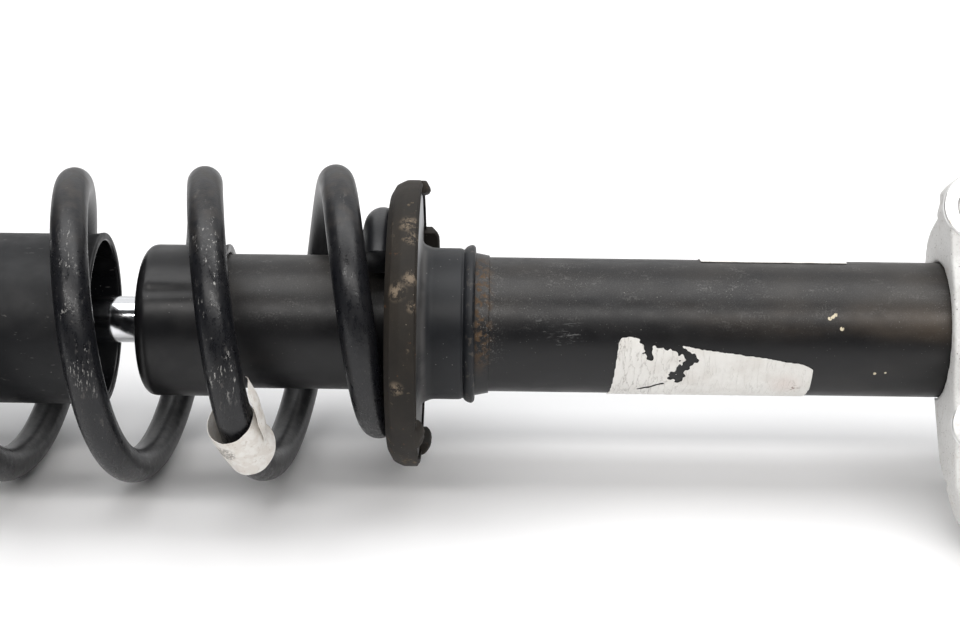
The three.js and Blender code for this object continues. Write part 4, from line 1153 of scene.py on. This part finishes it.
def sheet_on_tube(name, x0, x1, low, high, keeps, lift):
    """A paper sheet on the tube between two angles, cut to keeps(u, v), both in mm from its top corner."""
    step = 0.35
    columns = int((x1 - x0) / MM / step)
    arc = math.radians(high - low) * TUBE_R / MM
    rows = int(arc / step)
    bm = bmesh.new()
    grid = {}

    def corner(i, k):
        if (i, k) not in grid:
            u, v = i * step, k * step
            angle = high - math.degrees(v * MM / TUBE_R)
            grid[i, k] = bm.verts.new(on_strut(x0 + u * MM, angle, TUBE_R + lift(u, v) * MM))
        return grid[i, k]

    for i in range(columns):
        for k in range(rows):
            if keeps((i + 0.5) * step, (k + 0.5) * step):
                bm.faces.new([corner(i, k), corner(i + 1, k), corner(i + 1, k + 1), corner(i, k + 1)])
    for _ in range(3):
        moves = {}
        for vertex in bm.verts:
            rim = [e.other_vert(vertex).co for e in vertex.link_edges if e.is_boundary]
            if len(rim) == 2:
                moves[vertex] = vertex.co.lerp((rim[0] + rim[1]) / 2, 0.6)
        for vertex, co in moves.items():
            vertex.co = co
    loose = [v for v in bm.verts if not v.link_faces]
    bmesh.ops.delete(bm, geom=loose, context="VERTS")
    bmesh.ops.recalc_face_normals(bm, faces=bm.faces)
    mesh = bpy.data.meshes.new(name)
    bm.to_mesh(mesh)
    bm.free()
    return thicken(linked(name, mesh), 0.12, 1)


# Tears in the front label: each strip's start and end in mm from its top left, and half its width.
TEARS = (
    ((12.6, 1.0), (23.2, 2.8), 1.7),
    ((13.6, 2.0), (15.0, 7.4), 1.5),
    ((23.2, 3.0), (31.0, 7.6), 1.5),
    ((31.0, 8.2), (27.0, 13.4), 2.0),
    ((27.2, 13.6), (26.2, 18.8), 1.5),
    ((24.0, 15.6), (24.6, 16.8), 1.2),
    ((22.9, 17.6), (23.4, 18.4), 0.8),
    ((11.6, 25.8), (16.4, 23.4), 0.6),
    ((16.4, 23.4), (20.8, 20.8), 0.5),
)
LABEL_TOP = 19.2  # degrees from the front


def ragged(u, v, size, seed=0.0):
    """Smooth noise over a sheet from -1 to 1."""
    return noise.noise(Vector((u / size, v / size, seed)))


def torn_away(u, v):
    """Whether a place on the label lies in one of its tears."""
    for (u0, v0), (u1, v1), width in TEARS:
        du, dv = u1 - u0, v1 - v0
        t = min(max(((u - u0) * du + (v - v0) * dv) / (du * du + dv * dv), 0), 1)
        gap = math.hypot(u - u0 - t * du, v - v0 - t * dv)
        if gap < width * (1.08 + 0.9 * ragged(u, v, 1.4, 2)):
            return True
    return False


def make_front_label():
    """The torn label low on the front: its upper edge slopes down along the strut, and strips are gone."""

    def keeps(u, v):
        droop = 0.152 * max(0, u - 8) + 0.035 * max(0, u - 70) ** 2
        edge = 0.3 + droop + 0.3 * ragged(u, 0, 1.6) + 0.35 * ragged(u, 3, 6)
        corner = 1.6 * math.exp(-max(0, v) / 0.9)
        left = 3.4 - 0.085 * v + corner + 0.22 * ragged(0, v, 1.4, 4)
        right = 76.6 - 0.02 * max(0, v - 22) ** 1.6 + 0.25 * ragged(9, v, 1.8, 5)
        return edge < v and left < u < right and not torn_away(u, v)

    def lift(u, v):
        wrinkled = 1 if u < 26 else 0.5
        return 0.24 + wrinkled * (0.17 * ragged(u + 0.25 * v, v * 0.3, 1.5, 7) + 0.07 * ragged(u, v, 6, 1))

    sheet = sheet_on_tube("front_label", station(49), station(126.5), -66, LABEL_TOP, keeps, lift)
    dress(sheet, FINISH["paper"], "tube_label", angle=60)


def make_back_label():
    """The second label, over the top to the back, with one round corner."""

    def keeps(u, v):
        in_corner = math.hypot(max(0, 1.5 - u), max(0, v - 33)) < 1.5
        return 0.3 + 0.15 * ragged(u, 0, 3) < v and 0.2 < u < 56.2 and in_corner

    def lift(u, v):
        return 0.2 + 0.08 * ragged(u, v, 5, 3)

    sheet = sheet_on_tube("back_label", station(84), station(140.5), 100, 176, keeps, lift)
    dress(sheet, FINISH["paper"], "tube_label_back", angle=60)


# ---- Putting the object together ----

# Turned pieces, with the radius in mm that eases their corners.
TURNED = {
    "seat_support_ring": 0.6, "dust_tube": 1.2, "upper_spring_seat": 0.8, "upper_spring_pad": 1.2,
    "bearing_lower_race": 0.6, "bearing_upper_race": 0.6, "mount_sleeve": 0.6, "mount_rubber": 1.6,
    "mount_washer": 0.6, "bump_stop": 2.6, "bump_stop_cup": 0.6, "tube_base": 0.5, "gas_plug": 0.7,
    "rod_guide": 0.4,
}
OWN_FINISH = {
    "upper_spring_seat": MOUNT_PAINT,
    "rod_guide": turned_metal("guide_aluminium", (0.62, 0.62, 0.60), 0.35),
}

make_tube()
make_cap()
make_spring()
make_tag()
make_pad()
make_seat()
for turned, eased in TURNED.items():
    fine_turned(turned, OWN_FINISH.get(turned, FINISH[SLOT_OF[turned]]), eased)
make_mount_plate()
make_rod_and_nut()
make_studs()
make_bracket()
make_clamp_bolt()
make_front_label()
make_back_label()

for name, node in frame["nodes"].items():
    if not node.hide_render:
        node.data.materials.clear()
        node.data.materials.append(FINISH[SLOT_OF[name]])

# ---- Table, lights and camera ----


def make_table():
    """A pale table top with faint scratches."""
    half = 3.0
    verts = [(-half, -half, 0), (half, -half, 0), (half, half, 0), (-half, half, 0)]
    table = new_piece("table", verts, [(0, 1, 2, 3)])
    s = Surface("table", (0.93, 0.93, 0.935), 0.5, specular=0.3)
    s.tint(s.patches(0.4, 0.7, 120, 4), (0.88, 0.88, 0.885), 0.2)
    for turn, seed in (((1, 0.03, 1), 3.0), ((0.04, 1, 1), 8.0), ((0.3, 0.02, 1), 14.0)):
        scratch = s.both(s.patches(0.735, 0.75, 9, 1, turn, seed), s.patches(0.5, 0.6, 60, 2, seed=seed))
        s.tint(scratch, (0.60, 0.58, 0.56), 0.25)
    table.data.materials.append(s.material)


def panel(name, elevation, spread, length, radiance, color=(1, 1, 1)):
    """A light panel along the strut. Angles are in degrees from the front, up and over to the back."""
    distance = 1.5
    middle = Vector((DATUM_X, AXIS_Y, AXIS_Z))
    a = math.radians(elevation)
    place = middle + Vector((0, -math.cos(a), math.sin(a))) * distance
    width = 2 * distance * math.tan(math.radians(spread / 2))
    light = bpy.data.lights.new(name, "AREA")
    light.shape = "RECTANGLE"
    light.size, light.size_y = length, width
    light.energy = math.pi * length * width * radiance
    light.color = color
    lamp = linked(name, light)
    lamp.location = place
    lamp.rotation_euler = (middle - place).to_track_quat("-Z", "Y").to_euler()


def make_lights():
    """A studio's soft white ceiling and back wall, one strip lamp in front, and a dark room behind."""
    world = bpy.data.worlds.new("studio")
    world.use_nodes = True
    background = world.node_tree.nodes["Background"]
    background.inputs["Color"].default_value = (0.95, 0.97, 1.0, 1)
    background.inputs["Strength"].default_value = 0.07
    bpy.context.scene.world = world
    panel("ceiling", 94, 37, 2.6, 3.45)
    panel("rear_ceiling", 136, 44, 2.8, 0.9)
    panel("back_wall", 166, 18, 3.2, 0.9)
    panel("strip", 49, 7, 2.4, 11.5, (1.0, 0.98, 0.96))


def make_camera():
    """At 28 degrees above the table, square to the strut, as the object is usually seen here."""
    elevation = math.radians(28)
    towards = Vector((-0.0065, math.cos(elevation), -math.sin(elevation))).normalized()
    down = -Vector((0, math.sin(elevation), math.cos(elevation))) + Vector((0.0133, 0, 0))
    down = (down - towards * down.dot(towards)).normalized()
    right = down.cross(towards)
    axis_point = Vector((DATUM_X, AXIS_Y, AXIS_Z))
    data = bpy.data.cameras.new("camera")
    data.lens = 70.3
    data.sensor_width = 36
    camera = linked("camera", data)
    place = axis_point - towards * 0.727 - down * 1.53 * MM
    rotation = Matrix((right, -down, -towards)).transposed()
    camera.matrix_world = Matrix.Translation(place) @ rotation.to_4x4()
    bpy.context.scene.camera = camera


make_table()
make_lights()
make_camera()
bpy.context.scene.view_settings.view_transform = "Standard"
